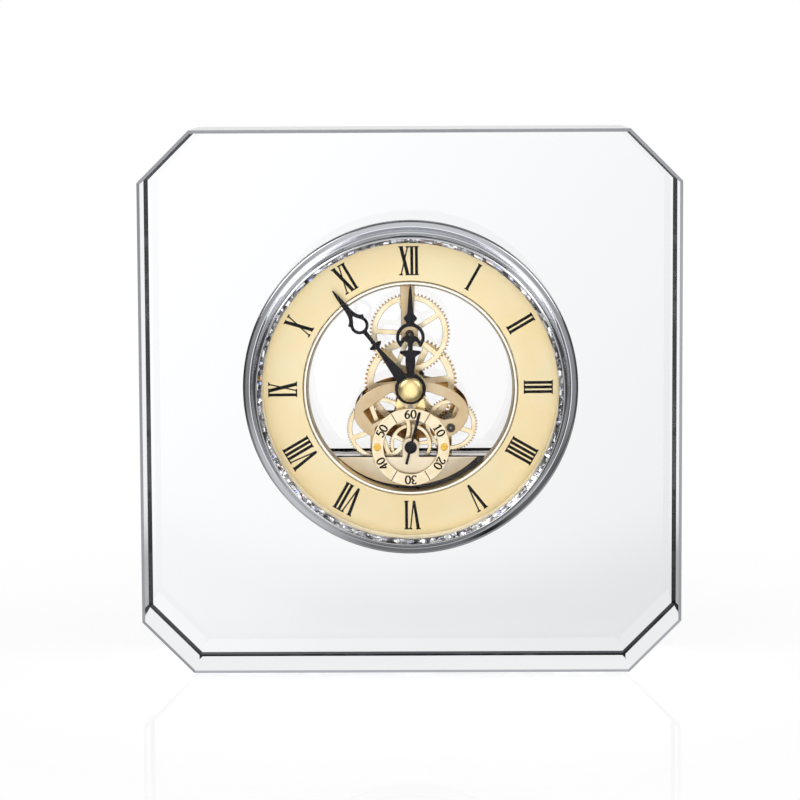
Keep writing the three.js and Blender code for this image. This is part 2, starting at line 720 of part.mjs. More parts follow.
function buildTrain() {
  const centreLeaves = [centreFront - 0.2, centreFront + 1.2];
  const arborFront = plateBack + 0.2;
  const arborBack = rearPlateFront - 0.2;
  const upper = turning(upperAxis, upperPhase);
  const upperFront = arborFront + bridgeThickness;
  const upperSolid = arbor(upperPinionTeeth, trainModule, centreLeaves, upperFront, rearBridgeFront - 0.2);
  add('upper_arbor', upperSolid, steel, upper);
  addWheel('upper_wheel', upperTeeth, upperModule, secondsFront, { rim: 1.5 }, upper);

  const right = turning(rightAxis, rightPhase);
  add('right_arbor', arbor(rightPinionTeeth, trainModule, centreLeaves, arborFront, arborBack), steel, right);
  addWheel('right_wheel', rightTeeth, rightModule, rightFront, { spokes: 4 }, right);

  const third = turning(thirdAxis, thirdPhase);
  add('third_arbor', arbor(thirdPinionTeeth, trainModule, centreLeaves, arborFront, arborBack), steel, third);
  addWheel('third_wheel', thirdTeeth, thirdModule, thirdFront, { spokes: 4 }, third);

  const seconds = turning(secondsAxis, secondsPhase);
  const secondsLeaves = [thirdFront - 0.2, thirdFront + 1];
  const shaft = arbor(secondsPinionTeeth, thirdModule, secondsLeaves, segmentBack + 0.2, arborBack);
  const pin = rod(pivotRadius, secondsHandBack - handThickness * 0.8, segmentBack + 1, 10);
  add('seconds_arbor', joined([shaft, pin]), steel, seconds);
  addWheel('seconds_wheel', secondsTeeth, secondsModule, secondsFront, { rim: 1, hub: 1.8 }, seconds);
  const hand = add('seconds_hand', secondsHandSolid(), blackPaint, seconds);
  hand.rotation.y = THREE.MathUtils.degToRad(secondsHandAngle - secondsPhase);

  const centre = turning(centreAxis, centrePhase);
  const hubInner = minuteArborRadius + runGap;
  const hubBack = centreFront + 1.2;
  add('centre_hub', turned([
    [hubInner, centreFront - 1], [hubStep, centreFront - 1], [hubStep, centreFront],
    [hubRadius, centreFront], [hubRadius, hubBack], [hubInner, hubBack],
  ], midSides), steel, centre);
  addWheel('centre_wheel', centreTeeth, trainModule, centreFront,
    { bore: hubRadius + slideGap, rim: 2, hub: 3.4, spoke: 1.1 }, centre);
  const spring = ring(hubInner + 0.2, 3.2, hubBack + slideGap, hubBack + 0.4, midSides);
  add('clutch_spring', spring, steel, centre);
}

// Stepping motor: magnet, its pinion, the step wheel, stator, coil, circuit and crystal can
function buildMotor() {
  const step = turning(stepAxis, stepPhase);
  const stepBack = stepFront + wheelThickness;
  add('step_wheel', joined([
    flat(polygon(wheelPoints(stepTeeth, stepModule)), stepFront, wheelThickness),
    pinion(stepPinionTeeth, secondsModule, secondsFront - 0.2, stepFront),
    rod(pivotRadius, unitFront + 0.2, stepBack + 0.5, 10),
  ]), greyPlastic, step);
  const rotor = turning(rotorAxis, rotorPhase);
  add('rotor_pinion', joined([
    pinion(rotorPinionTeeth, stepModule, stepFront - 0.1, stepBack + 0.1),
    rod(pivotRadius, unitFront + 0.2, stepBack + 0.3, 10),
  ]), greyPlastic, rotor);
  const magnetFront = stepBack + 0.3 + slideGap;
  add('rotor_magnet', rod(rotorRadius, magnetFront, statorFront + 1.2, midSides), steel, rotor);

  const [rotorX, rotorZ] = rotorAxis;
  const legInner = coilLength / 2 + coilGap;
  const legOuter = legInner + statorLeg;
  const coreZ = -coilDrop;
  const span = (halfLow, halfHigh, low, high) => box(
    [rotorX + halfLow, statorFront, low], [rotorX + halfHigh, statorFront + statorSheet, high]);
  const arch = span(-legOuter, legOuter, rotorZ - statorBelow, rotorZ + statorAbove);
  const leftLeg = span(-legOuter, -legInner, coreZ - 1, rotorZ);
  const rightLeg = span(legInner, legOuter, coreZ - 1, rotorZ);
  const core = span(-legInner, legInner, coreZ - 1, coreZ + 1);
  const rotorHole = rod(statorHoleRadius, statorFront - 1, statorFront + 2, midSides, rotorX, rotorZ);
  add('stator', joined([arch, leftLeg, rightLeg, core]).subtract(rotorHole), steel);

  const winding = new THREE.LatheGeometry([
    [1.6, -coilLength / 2], [coilRadius, -coilLength / 2], [coilRadius, coilLength / 2],
    [1.6, coilLength / 2], [1.6, -coilLength / 2],
  ].map(p => new THREE.Vector2(...p)), 16);
  winding.rotateZ(Math.PI / 2);
  winding.translate(rotorX, statorFront + 0.5, coreZ);
  add('coil', toSolid(winding), copper);

  const boardTop = segmentTop - unitWall - 2.6;
  const board = box([-boardReach, boardBack - boardThickness, -coilDrop], [-5, boardBack, boardTop]);
  add('circuit_board', board, boardGreen);
  const can = new THREE.CylinderGeometry(crystalCanRadius, crystalCanRadius, crystalCanLength, smallSides);
  can.rotateZ(Math.PI / 2);
  can.translate(-12, boardBack + crystalCanRadius + slideGap, -34);
  add('quartz_can', toSolid(can), steel);
}

// Case of the quartz unit: a cup open to the front and a battery box open to the rear
function buildUnit() {
  const body = flat(polygon(segmentOutline(unitRadius, segmentTop, 28)), unitFront, unitDepth);
  const floorBack = batteryMiddle - batteryRadius - 0.2;
  const floorFront = floorBack - 0.6;
  const inner = polygon(segmentOutline(unitRadius - unitWall, segmentTop - unitWall, 28));
  const front = flat(inner, unitFront - 1, floorFront - unitFront + 1);
  const cavity = box([-cavityHalf, floorBack, cavityBottom], [cavityHalf, unitBack + 1, cavityTop]);
  const slotFor = (axis, radius, at) => {
    const drop = axis[1] - segmentTop;
    const half = Math.sqrt((radius + 0.4) ** 2 - drop ** 2);
    return box([axis[0] - half, at - 0.3, segmentTop - unitWall - 0.5],
      [axis[0] + half, at + wheelThickness + 0.3, segmentTop + 1]);
  };
  const thirdSlot = slotFor(thirdAxis, tipRadius(thirdTeeth, thirdModule), thirdFront);
  const secondsSlot = slotFor(secondsAxis, tipRadius(secondsTeeth, secondsModule), secondsFront);
  const boardPosts = [[-boardReach + 3, -coilDrop + 3], [-8, segmentTop - 6]].map(([x, z]) =>
    rod(postRadius, boardBack + slideGap, floorFront + 0.3, smallSides, x, z));
  const postReach = coilLength / 2 + coilGap + statorLeg / 2;
  const postFront = statorFront + statorSheet + slideGap;
  const statorPosts = [-1, 1].map(side => rod(postRadius, postFront, floorFront + 0.3, smallSides,
    rotorAxis[0] + side * postReach, rotorAxis[1] - 1));
  const shell = cutFrom(body, [front, cavity, thirdSlot, secondsSlot]);
  add('movement_case', joined([shell, ...boardPosts, ...statorPosts]), darkPlastic);

  const cell = new THREE.LatheGeometry([
    [0, -batteryLength / 2], [batteryRadius, -batteryLength / 2], [batteryRadius, batteryLength / 2 - 1],
    [1.9, batteryLength / 2 - 1], [1.9, batteryLength / 2], [0, batteryLength / 2],
  ].map(p => new THREE.Vector2(...p)), 24);
  cell.rotateZ(-Math.PI / 2);
  cell.translate(0, batteryMiddle, -batteryDrop);
  add('battery', toSolid(cell), steel);
  for (const [name, side] of [['contact_negative', -1], ['contact_positive', 1]]) {
    const near = side * (batteryLength / 2 + seatGap);
    const far = near + side * contactThickness;
    const low = [Math.min(near, far), batteryMiddle - 4, -batteryDrop - 4];
    const high = [Math.max(near, far), batteryMiddle + 4, -batteryDrop + 4];
    add(name, box(low, high), steel);
  }
}

// Hands: each outline is the right-hand side from the hub to the tip, mirrored for the left
function mirrored(side) {
  const left = side.map(([x, z]) => [-x, z]).reverse();
  return polygon([...side, ...left]);
}

function hourHandSolid() {
  const ringMiddle = [0, 16.7];
  const tail = [
    [1.2, 0], [1.17, 5.2], [1.53, 8.3], [1.43, 10], [3, 11.15], [3.24, 11.6], [2.7, 12.1], [0.76, 12.15],
  ];
  const curl = [
    [0.76, 14.3], [0.95, 14.9], [1.5, 15.15], [2.1, 14.85], [2.5, 14.2], [3.05, 13.55], [3.87, 15.1],
  ];
  const rim = arc(4.43, 100, 17, 9, ringMiddle);
  const knob = [[1.9, 21.6], [1.98, 22.2], [1.75, 22.9], [0.95, 23.5]];
  const tip = [[0.27, hourHandLength - 0.9], [0.06, hourHandLength]];
  const outline = mirrored([...tail, ...curl, ...rim, ...knob, ...tip]);
  const lobes = [[0.6, 16.7], [1.6, 16.9], [2.5, 16.2], [3.2, 15.5]];
  const crescent = mirrored([...lobes, ...arc(3.42, 95, 5, 8, [0, 16.55])]);
  outline.holes.push(new THREE.Path(crescent.getPoints()));
  const front = hourHandBack - handThickness;
  return joined([outline, disc(hourHubRadius, 28)].map(shape => flat(shape, front, handThickness)));
}

function minuteHandSolid() {
  const ringMiddle = [0, 25.8];
  const body = [
    [1.7, 0], [1.7, 5.2], [1.5, 7.5], [0.55, 16.9], [1.4, 17.35], [2.05, 18], [1.95, 18.4], [0.5, 18.7],
  ];
  const rim = arc(2.66, 166, 55, 8, ringMiddle);
  const thorn = [[2.95, 27.9], [2.03, 28.35], [1.27, 29.6], [0.79, 32.2]];
  const tip = [[0.32, minuteHandLength - 2.1], [0.06, minuteHandLength]];
  const outline = mirrored([...body, ...rim, ...thorn, ...tip]);
  const drop = mirrored([...arc(1.76, 180, 50, 8, ringMiddle).slice(1), [0.5, 28], [0.02, 29]]);
  outline.holes.push(new THREE.Path(drop.getPoints()));
  const front = minuteHandBack - handThickness;
  const solid = joined([outline, disc(minuteHubRadius, 28)].map(shape => flat(shape, front, handThickness)));
  return solid.subtract(rod(minuteArborRadius + slideGap, front - 1, minuteHandBack + 1));
}

function secondsHandSolid() {
  const front = secondsHandBack - handThickness * 0.8;
  const blade = polygon([
    [-0.45, -secondsTailLength], [0.45, -secondsTailLength], [0.4, 0], [0.5, secondsHandLength - 1.6],
    [0.3, secondsHandLength], [-0.3, secondsHandLength], [-0.5, secondsHandLength - 1.6], [-0.4, 0],
  ]);
  const boss = turned([
    [0, secondsHandBack], [secondsBossRadius, secondsHandBack], [secondsBossRadius, front - 0.3],
    [secondsBossRadius - 0.4, front - 0.6], [0, front - 0.6],
  ], 24);
  const socket = rod(pivotRadius + runGap, front - 0.2, secondsHandBack + 1, 10);
  return joined([flat(blade, front, handThickness * 0.8), boss]).subtract(socket);
}

function buildHands() {
  const hour = turning(centreAxis, hourHandAngle);
  const tubeInner = minuteArborRadius + runGap;
  const tubeBack = hourWheelFront + wheelThickness;
  const tube = ring(tubeInner, hourTubeRadius, hourHandBack - handThickness, tubeBack, midSides);
  const teeth = flat(polygon(wheelPoints(hourTeeth, hourModule)), hourWheelFront, wheelThickness);
  const tubeBore = rod(tubeInner, hourWheelFront - 1, tubeBack + 1, midSides);
  const hourWheel = add('hour_wheel', joined([tube, teeth.subtract(tubeBore)]), brass, hour);
  hourWheel.rotation.y = THREE.MathUtils.degToRad(hourPhase - hourHandAngle);
  const fit = rod(hourTubeRadius + slideGap, hourHandBack - 2, hourHandBack + 2, midSides);
  add('hour_hand', hourHandSolid().subtract(fit), blackPaint, hour);

  const minute = turning(centreAxis, minuteHandAngle);
  add('minute_hand', minuteHandSolid(), blackPaint, minute);
  const nutSeat = minuteArborRadius + slideGap;
  const nutFloor = nutBack - nutHeight * 0.5;
  add('hand_nut', turned([
    [0, nutFloor], [nutSeat, nutFloor], [nutSeat, nutBack],
    [nutRadius, nutBack], [nutRadius, nutBack - nutHeight * 0.3],
    [nutRadius * 0.9, nutBack - nutHeight * 0.62], [nutRadius * 0.62, nutBack - nutHeight * 0.88],
    [0, nutBack - nutHeight],
  ], 28), brass, minute);
  const shaft = rod(minuteArborRadius, nutBack - nutHeight * 0.4, knobFront + knobLength * 0.7, smallSides);
  const cannonBack = minuteWheelFront + wheelThickness + slideGap;
  const cannon = pinion(cannonTeeth, motionModule, minuteWheelFront - slideGap, cannonBack);
  const arborMesh = add('minute_arbor', joined([shaft, cannon]), steel, minute);
  arborMesh.rotation.y = THREE.MathUtils.degToRad(cannonPhase - minuteHandAngle);
  const knobPoints = Array.from({ length: 36 }, (_, i) => polar(knobRadius - (i % 2 ? 0.3 : 0), 10 * i));
  const grip = flat(polygon(knobPoints), knobFront + 1, knobLength - 1);
  const collar = rod(knobRadius * 0.55, knobFront, knobFront + 1, midSides);
  const socket = rod(minuteArborRadius + slideGap, knobFront - 1, knobFront + knobLength * 0.75);
  add('setting_knob', joined([grip, collar]).subtract(socket), darkPlastic, minute);

  const stud = turning(minuteStud, minuteWheelPhase);
  const stack = joined([
    flat(polygon(wheelPoints(minuteWheelTeeth, motionModule)), minuteWheelFront, wheelThickness),
    pinion(minutePinionTeeth, hourModule, hourWheelFront - 0.1, minuteWheelFront),
  ]);
  const bore = rod(minuteStudRadius + runGap, hourWheelFront - 1, minuteWheelFront + wheelThickness + 1);
  add('minute_wheel', stack.subtract(bore), brass, stud);
  const studBack = minuteWheelFront + wheelThickness + slideGap;
  const pin = rod(minuteStudRadius, plateFront + slideGap, studBack, smallSides, ...minuteStud);
  add('minute_stud', pin, steel);
}

buildBlock();
buildBezel();
buildDial();
buildCase();
buildCover();
buildDoor();
buildFrontPlate();
buildJewels();
buildBridges();
buildSegment();
buildRearPlate();
buildSubdial();
buildTrain();
buildMotor();
buildUnit();
buildHands();

export default clock;
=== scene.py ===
import math
import random

import bmesh
import bpy
import numpy as np
from mathutils import Matrix, Vector
from mathutils.geometry import delaunay_2d_cdt


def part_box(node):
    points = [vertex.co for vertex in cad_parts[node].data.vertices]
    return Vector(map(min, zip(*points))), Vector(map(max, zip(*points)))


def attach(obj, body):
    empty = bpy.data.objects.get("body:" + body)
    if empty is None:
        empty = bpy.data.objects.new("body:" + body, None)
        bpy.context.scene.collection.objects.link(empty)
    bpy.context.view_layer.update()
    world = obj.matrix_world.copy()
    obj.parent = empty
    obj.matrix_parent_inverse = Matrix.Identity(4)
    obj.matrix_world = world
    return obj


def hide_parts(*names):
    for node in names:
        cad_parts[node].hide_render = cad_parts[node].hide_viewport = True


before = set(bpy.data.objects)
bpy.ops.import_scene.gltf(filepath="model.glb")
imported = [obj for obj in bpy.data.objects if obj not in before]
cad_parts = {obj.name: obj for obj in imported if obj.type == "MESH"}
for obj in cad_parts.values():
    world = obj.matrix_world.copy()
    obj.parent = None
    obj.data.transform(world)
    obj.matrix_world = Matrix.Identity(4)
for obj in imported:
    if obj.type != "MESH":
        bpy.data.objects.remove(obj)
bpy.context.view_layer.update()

random.seed(12)

mm = 0.001
dialCentre = (0, -25, 89)  # where the hands turn, on the block's front face
# the arbors of the wheels, right and up from there
axes = {"centre": (0, 0), "upper": (-0.199, 16.279), "right": (12.358, -12.532),
        "third": (-9.664, -13.101), "seconds": (0, -18.35)}


# colours and nodes

def linear(colour):
    # sRGB hex to the linear values that sockets take
    parts = [int(colour[i:i + 2], 16) / 255 for i in (1, 3, 5)]
    return [c / 12.92 if c <= 0.04045 else ((c + 0.055) / 1.055) ** 2.4 for c in parts] + [1]


def addNode(tree, kind, values=(), links=(), **settings):
    made = tree.nodes.new("ShaderNode" + kind)
    for name, value in settings.items():
        setattr(made, name, value)
    for name, value in dict(values).items():
        made.inputs[name].default_value = value
    for name, source in dict(links).items():
        tree.links.new(source, made.inputs[name])
    return made


def newMaterial(name, colour, metallic, roughness, **more):
    material = bpy.data.materials.new(name)
    material.use_nodes = True
    tree = material.node_tree
    tree.nodes.clear()
    shader = addNode(tree, "BsdfPrincipled", {"Base Color": linear(colour), "Metallic": metallic,
                                              "Roughness": roughness, **more})
    addNode(tree, "OutputMaterial", links={"Surface": shader.outputs[0]})
    return material, tree, shader


def perMetre(size):
    # how many of a pattern's grains of this size, in mm, fit in a metre
    return 1000 / size


def grain(tree, shader, size, depth, detail=2.0, stretch=(1, 1, 1)):
    # a fine bump of the given grain size and depth in mm
    place = addNode(tree, "TexCoord")
    mapped = addNode(tree, "Mapping", {"Scale": stretch}, {"Vector": place.outputs["Object"]})
    noise = addNode(tree, "TexNoise", {"Scale": perMetre(size), "Detail": detail},
                    {"Vector": mapped.outputs[0]})
    bump = addNode(tree, "Bump", {"Strength": 1, "Distance": depth * mm}, {"Height": noise.outputs[0]})
    tree.links.new(bump.outputs[0], shader.inputs["Normal"])


def setStops(ramp, stops):
    # a ramp's stops, each a position with a colour or a value
    elements = ramp.color_ramp.elements
    for k, (at, value) in enumerate(stops):
        stop = elements[k] if k < 2 else elements.new(at)
        stop.position = at
        stop.color = linear(value) if isinstance(value, str) else [value] * 3 + [1]


def varied(tree, shader, socket, low, high, size, detail=3.0, ends=(0.3, 0.7)):
    # the socket wanders between two values, or two colours, over patches of the given size in mm
    place = addNode(tree, "TexCoord")
    noise = addNode(tree, "TexNoise", {"Scale": perMetre(size), "Detail": detail},
                    {"Vector": place.outputs["Object"]})
    ramp = addNode(tree, "ValToRGB", links={"Fac": noise.outputs[0]})
    setStops(ramp, zip(ends, (low, high)))
    tree.links.new(ramp.outputs[0], shader.inputs[socket])
    return ramp


def letLampsThrough(material, tree, shader, tint):
    # lamps light what is behind the glass, a little dimmed by it
    out = next(node for node in tree.nodes if node.type == "OUTPUT_MATERIAL")
    path = addNode(tree, "LightPath")
    clear = addNode(tree, "BsdfTransparent", {"Color": linear(tint)})
    mixed = addNode(tree, "MixShader", links={0: path.outputs["Is Shadow Ray"],
                                              1: shader.outputs[0], 2: clear.outputs[0]})
    tree.links.new(mixed.outputs[0], out.inputs["Surface"])
    return material


# mesh helpers, in millimetres round the hands' axis: x right, y back, z up

def finishMesh(name, corners, faces, angle=32):
    mesh = bpy.data.meshes.new(name)
    mesh.from_pydata([Vector(corner) * mm for corner in corners], [], faces)
    shape = bmesh.new()
    shape.from_mesh(mesh)
    bmesh.ops.remove_doubles(shape, verts=shape.verts, dist=1e-6)
    bmesh.ops.recalc_face_normals(shape, faces=shape.faces)
    shape.to_mesh(mesh)
    shape.free()
    mesh.shade_smooth()
    mesh.set_sharp_from_angle(angle=math.radians(angle))
    return mesh


def addPiece(name, mesh, material, body, replaces=(), at=(0, 0), turn=0):
    piece = bpy.data.objects.new(name, mesh)
    bpy.context.scene.collection.objects.link(piece)
    for one in material if isinstance(material, list) else [material]:
        mesh.materials.append(one)
    x, y, z = dialCentre
    piece.location = Vector((x + at[0], y, z + at[1])) * mm
    piece.rotation_euler = (0, math.radians(turn), 0)
    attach(piece, body)
    if replaces:
        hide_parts(*replaces)
    return piece


def polar(radius, degrees):
    turn = math.radians(degrees)
    return (radius * math.sin(turn), radius * math.cos(turn))


def arc(radius, start, end, steps, middle=(0, 0)):
    turns = [start + (end - start) * i / steps for i in range(steps + 1)]
    return [(middle[0] + polar(radius, t)[0], middle[1] + polar(radius, t)[1]) for t in turns]


def circle(radius, sides=64, middle=(0, 0)):
    return arc(radius, 0, 360, sides, middle)[:-1]


def rectangle(x, half, low, high):
    return [(x - half, low), (x + half, low), (x + half, high), (x - half, high)]


def smoothed(points, steps=4, closed=False):
    # a curve through the points, so that a few of them give a flowing outline
    count = len(points)
    made = []
    for i in range(count if closed else count - 1):
        around = [points[(i + k) % count] if closed else points[min(max(i + k, 0), count - 1)]
                  for k in (-1, 0, 1, 2)]
        before, here, there, after = [Vector(p) for p in around]
        for j in range(steps):
            t = j / steps
            made.append(tuple(0.5 * (2 * here + (there - before) * t
                                     + (2 * before - 5 * here + 4 * there - after) * t * t
                                     + (3 * here - before - 3 * there + after) * t ** 3)))
    return made if closed else made + [tuple(points[-1])]


def mirrored(side):
    return list(side) + [(-x, z) for x, z in reversed(side)]


def turned2d(points, degrees, middle=(0, 0)):
    turn = math.radians(degrees)
    c, s = math.cos(turn), math.sin(turn)
    return [(middle[0] + x * c + z * s, middle[1] - x * s + z * c) for x, z in points]


def insideAny(points, loops):
    # which of the points lie inside one of the loops
    inside = np.zeros(len(points), bool)
    for loop in loops:
        a = np.asarray(loop, float)
        b = np.roll(a, -1, 0)
        px, pz = points[:, 0, None], points[:, 1, None]
        crossed = (a[:, 1] > pz) != (b[:, 1] > pz)
        rise = np.where(b[:, 1] == a[:, 1], 1e-12, b[:, 1] - a[:, 1])
        at = (b[:, 0] - a[:, 0]) * (pz - a[:, 1]) / rise + a[:, 0]
        inside |= np.sum(crossed & (px < at), axis=1) % 2 == 1
    return inside


def edgeDistance(points, loops):
    # how far each point is from the nearest side of the loops
    best = np.full(len(points), 1e9)
    for loop in loops:
        a = np.asarray(loop, float)
        b = np.roll(a, -1, 0)
        along = b - a
        size = np.maximum((along ** 2).sum(1), 1e-12)
        for i in range(0, len(points), 400):
            p = points[i:i + 400, None, :]
            t = np.clip(((p - a) * along).sum(2) / size, 0, 1)
            gap = np.linalg.norm(p - (a + t[..., None] * along), axis=2).min(1)
            best[i:i + 400] = np.minimum(best[i:i + 400], gap)
    return best


def flatMesh(name, areas, front, thickness, holes=(), edge=0.08, steps=1, dome=0, reach=1, grid=0.4,
             backEdge=None, angle=32):
    # a plate seen from the front, with eased edges, and a crowned face where dome is given
    loops = [list(loop) for loop in [*areas, *holes]]
    points = [p for loop in loops for p in loop]
    edges = []
    start = 0
    for loop in loops:
        edges += [(start + i, start + (i + 1) % len(loop)) for i in range(len(loop))]
        start += len(loop)
    if dome:
        # points all over the face carry its crown
        spots = np.array(points)
        low, high = spots.min(0), spots.max(0)
        spread = np.meshgrid(np.arange(low[0], high[0], grid), np.arange(low[1], high[1], grid))
        spots = np.stack(spread, -1).reshape(-1, 2)
        spots = spots[insideAny(spots, areas) & ~insideAny(spots, holes)]
        spots = spots[edgeDistance(spots, loops) > max(edge * 1.6, grid * 0.4)]
        points = points + [tuple(spot) for spot in spots]
    corners, _, triangles = delaunay_2d_cdt([Vector(p) for p in points], edges, [], 0, 1e-5)[:3]
    flat = np.array([tuple(c) for c in corners])
    middles = np.array([flat[list(t)].mean(0) for t in triangles])
    kept = insideAny(middles, areas) & ~insideAny(middles, holes)
    triangles = [tuple(t) for t, keep in zip(triangles, kept) if keep]
    # the rim is made of the triangle sides that only one triangle has
    rim = {(t[i], t[(i + 1) % 3]) for t in triangles for i in range(3)}
    rim = {(a, b) for a, b in rim if (b, a) not in rim}
    outward = {}
    for a, b in rim:
        along = flat[b] - flat[a]
        normal = np.array([along[1], -along[0]]) / max(np.linalg.norm(along), 1e-9)
        outward.setdefault(a, []).append(normal)
        outward.setdefault(b, []).append(normal)
    rimCorners = sorted(outward)
    push = {}
    for a in rimCorners:
        total = sum(outward[a])
        total /= max(np.linalg.norm(total), 1e-9)
        push[a] = total / max(np.dot(total, outward[a][0]), 0.6)
    starts = np.array([flat[a] for a, b in rim])
    ends = np.array([flat[b] for a, b in rim])
    room = {}
    for a in rimCorners:
        # how far the material reaches inward here, so that an eased edge never crosses another
        p, d = flat[a] - push[a] * 1e-4, -push[a]
        along = ends - starts
        cross = d[0] * along[:, 1] - d[1] * along[:, 0]
        cross = np.where(abs(cross) < 1e-12, 1e-12, cross)
        gap = starts - p
        t = (gap[:, 0] * along[:, 1] - gap[:, 1] * along[:, 0]) / cross
        u = (gap[:, 0] * d[1] - gap[:, 1] * d[0]) / cross
        hits = t[(t > 1e-3) & (u >= 0) & (u <= 1)]
        room[a] = 0.42 * hits.min() if len(hits) else 1e3
    backEdge = edge if backEdge is None else backEdge
    # rings of corners from the front edge to the back, then the flat or crowned faces inside them
    turns = [math.pi / 2 * i / steps for i in range(steps + 1)]
    levels = [(edge * (1 - math.sin(t)), dome + edge * (1 - math.cos(t))) for t in turns]
    levels += [(backEdge * (1 - math.sin(t)), thickness - backEdge * (1 - math.cos(t)))
               for t in reversed(turns)]
    made, rings = [], []
    for inset, depth in levels:
        rings.append({a: len(made) + i for i, a in enumerate(rimCorners)})
        made += [(*(flat[a] - push[a] * min(inset, room[a])), front + depth) for a in rimCorners]
    inner = sorted({i for t in triangles for i in t} - set(outward))
    places = [dict(rings[0]), dict(rings[-1])]
    crown = {}
    if inner and dome:
        share = np.clip(edgeDistance(flat[inner], loops) / reach, 0, 1)
        crown = dict(zip(inner, 1 - (1 - share) ** 2))
    for side, depth in ((0, 0), (1, thickness)):
        for i in inner:
            places[side][i] = len(made)
            lift = dome * (1 - crown.get(i, 0)) if side == 0 else 0
            made.append((*flat[i], front + depth + lift))
    faces = [tuple(places[0][i] for i in t) for t in triangles]
    faces += [tuple(places[1][i] for i in reversed(t)) for t in triangles]
    for upper, lower in zip(rings, rings[1:]):
        faces += [(upper[a], lower[a], lower[b], upper[b]) for a, b in rim]
    mesh = finishMesh(name, [(x, y, z) for x, z, y in made], faces, angle)
    if not dome:
        for face in mesh.polygons:
            if abs(face.normal.y) > 0.999:
                face.use_smooth = False
    return mesh


def rounded(profile, radius, steps=3, closed=True):
    # eases every corner of a section by the radius, or less where its sides are short
    made = []
    count = len(profile)
    for i, here in enumerate(profile):
        if not closed and i in (0, count - 1):
            made.append(tuple(here))
            continue
        p = Vector(here)
        back, ahead = Vector(profile[i - 1]) - p, Vector(profile[(i + 1) % count]) - p
        cut = min(radius, 0.45 * back.length, 0.45 * ahead.length)
        start, end = p + back.normalized() * cut, p + ahead.normalized() * cut
        # a point just off each end of the curve keeps the flats beside it flat in the light
        made.append(tuple(start + back.normalized() * 0.1 * cut))
        for k in range(steps + 1):
            t = k / steps
            made.append(tuple((1 - t) ** 2 * start + 2 * t * (1 - t) * p + t * t * end))
        made.append(tuple(end + ahead.normalized() * 0.1 * cut))
    return made


def turnedMesh(name, profile, sides=160, angle=32, wobble=None):
    # a lathe-turned solid about the hands' axis, from a section of (radius, y)
    count = len(profile)
    onAxis = profile[0][0] == 0
    corners, rows = [], []
    for i, (radius, y) in enumerate(profile):
        if radius == 0:
            rows.append([len(corners)] * sides)
            corners.append((0, y, 0))
            continue
        rows.append([len(corners) + k for k in range(sides)])
        for k in range(sides):
            out, back = wobble(i, k) if wobble else (0, 0)
            x, z = polar(radius + out, 360 * k / sides)
            corners.append((x, y + back, z))
    faces = []
    for i in range(count - 1 if onAxis else count):
        here, there = rows[i], rows[(i + 1) % count]
        for k in range(sides):
            ring = [here[k], here[(k + 1) % sides], there[(k + 1) % sides], there[k]]
            ring = [c for j, c in enumerate(ring) if c not in ring[:j]]
            if len(ring) > 2:
                faces.append(tuple(ring))
    return finishMesh(name, corners, faces, angle)


def joinedMesh(name, meshes):
    shape = bmesh.new()
    for mesh in meshes:
        shape.from_mesh(mesh)
    made = bpy.data.meshes.new(name)
    shape.to_mesh(made)
    shape.free()
    made.set_sharp_from_angle(angle=math.radians(32))
    for mesh in meshes:
        bpy.data.meshes.remove(mesh)
    return made


def boxMesh(name, low, high, edge=0.15):
    (x0, y0, z0), (x1, y1, z1) = low, high
    return flatMesh(name, [[(x0, z0), (x1, z0), (x1, z1), (x0, z1)]], y0, y1 - y0, edge=edge, steps=2)


print("helpers ready")


# camera, studio and floor

camera = {"place": (6, -1000, 189.6), "yaw": -0.543, "pitch": -6.114, "roll": -0.285, "lens": 143.64}


def addCamera():
    yaw, pitch, roll = [math.radians(camera[key]) for key in ("yaw", "pitch", "roll")]
    ahead = Vector((math.sin(yaw) * math.cos(pitch), math.cos(yaw) * math.cos(pitch), math.sin(pitch)))
    right = Vector((math.cos(yaw), -math.sin(yaw), 0))
    up = right.cross(ahead)
    tilted = right * math.cos(roll) + up * math.sin(roll)
    upright = up * math.cos(roll) - right * math.sin(roll)
    seen = bpy.data.objects.new("camera", bpy.data.cameras.new("camera"))
    bpy.context.scene.collection.objects.link(seen)
    facing = Matrix((tilted, upright, -ahead)).transposed().to_4x4()
    seen.matrix_world = Matrix.Translation(Vector(camera["place"]) * mm) @ facing
    seen.data.lens = camera["lens"]
    seen.data.clip_start, seen.data.clip_end = 0.05, 20
    bpy.context.scene.camera = seen


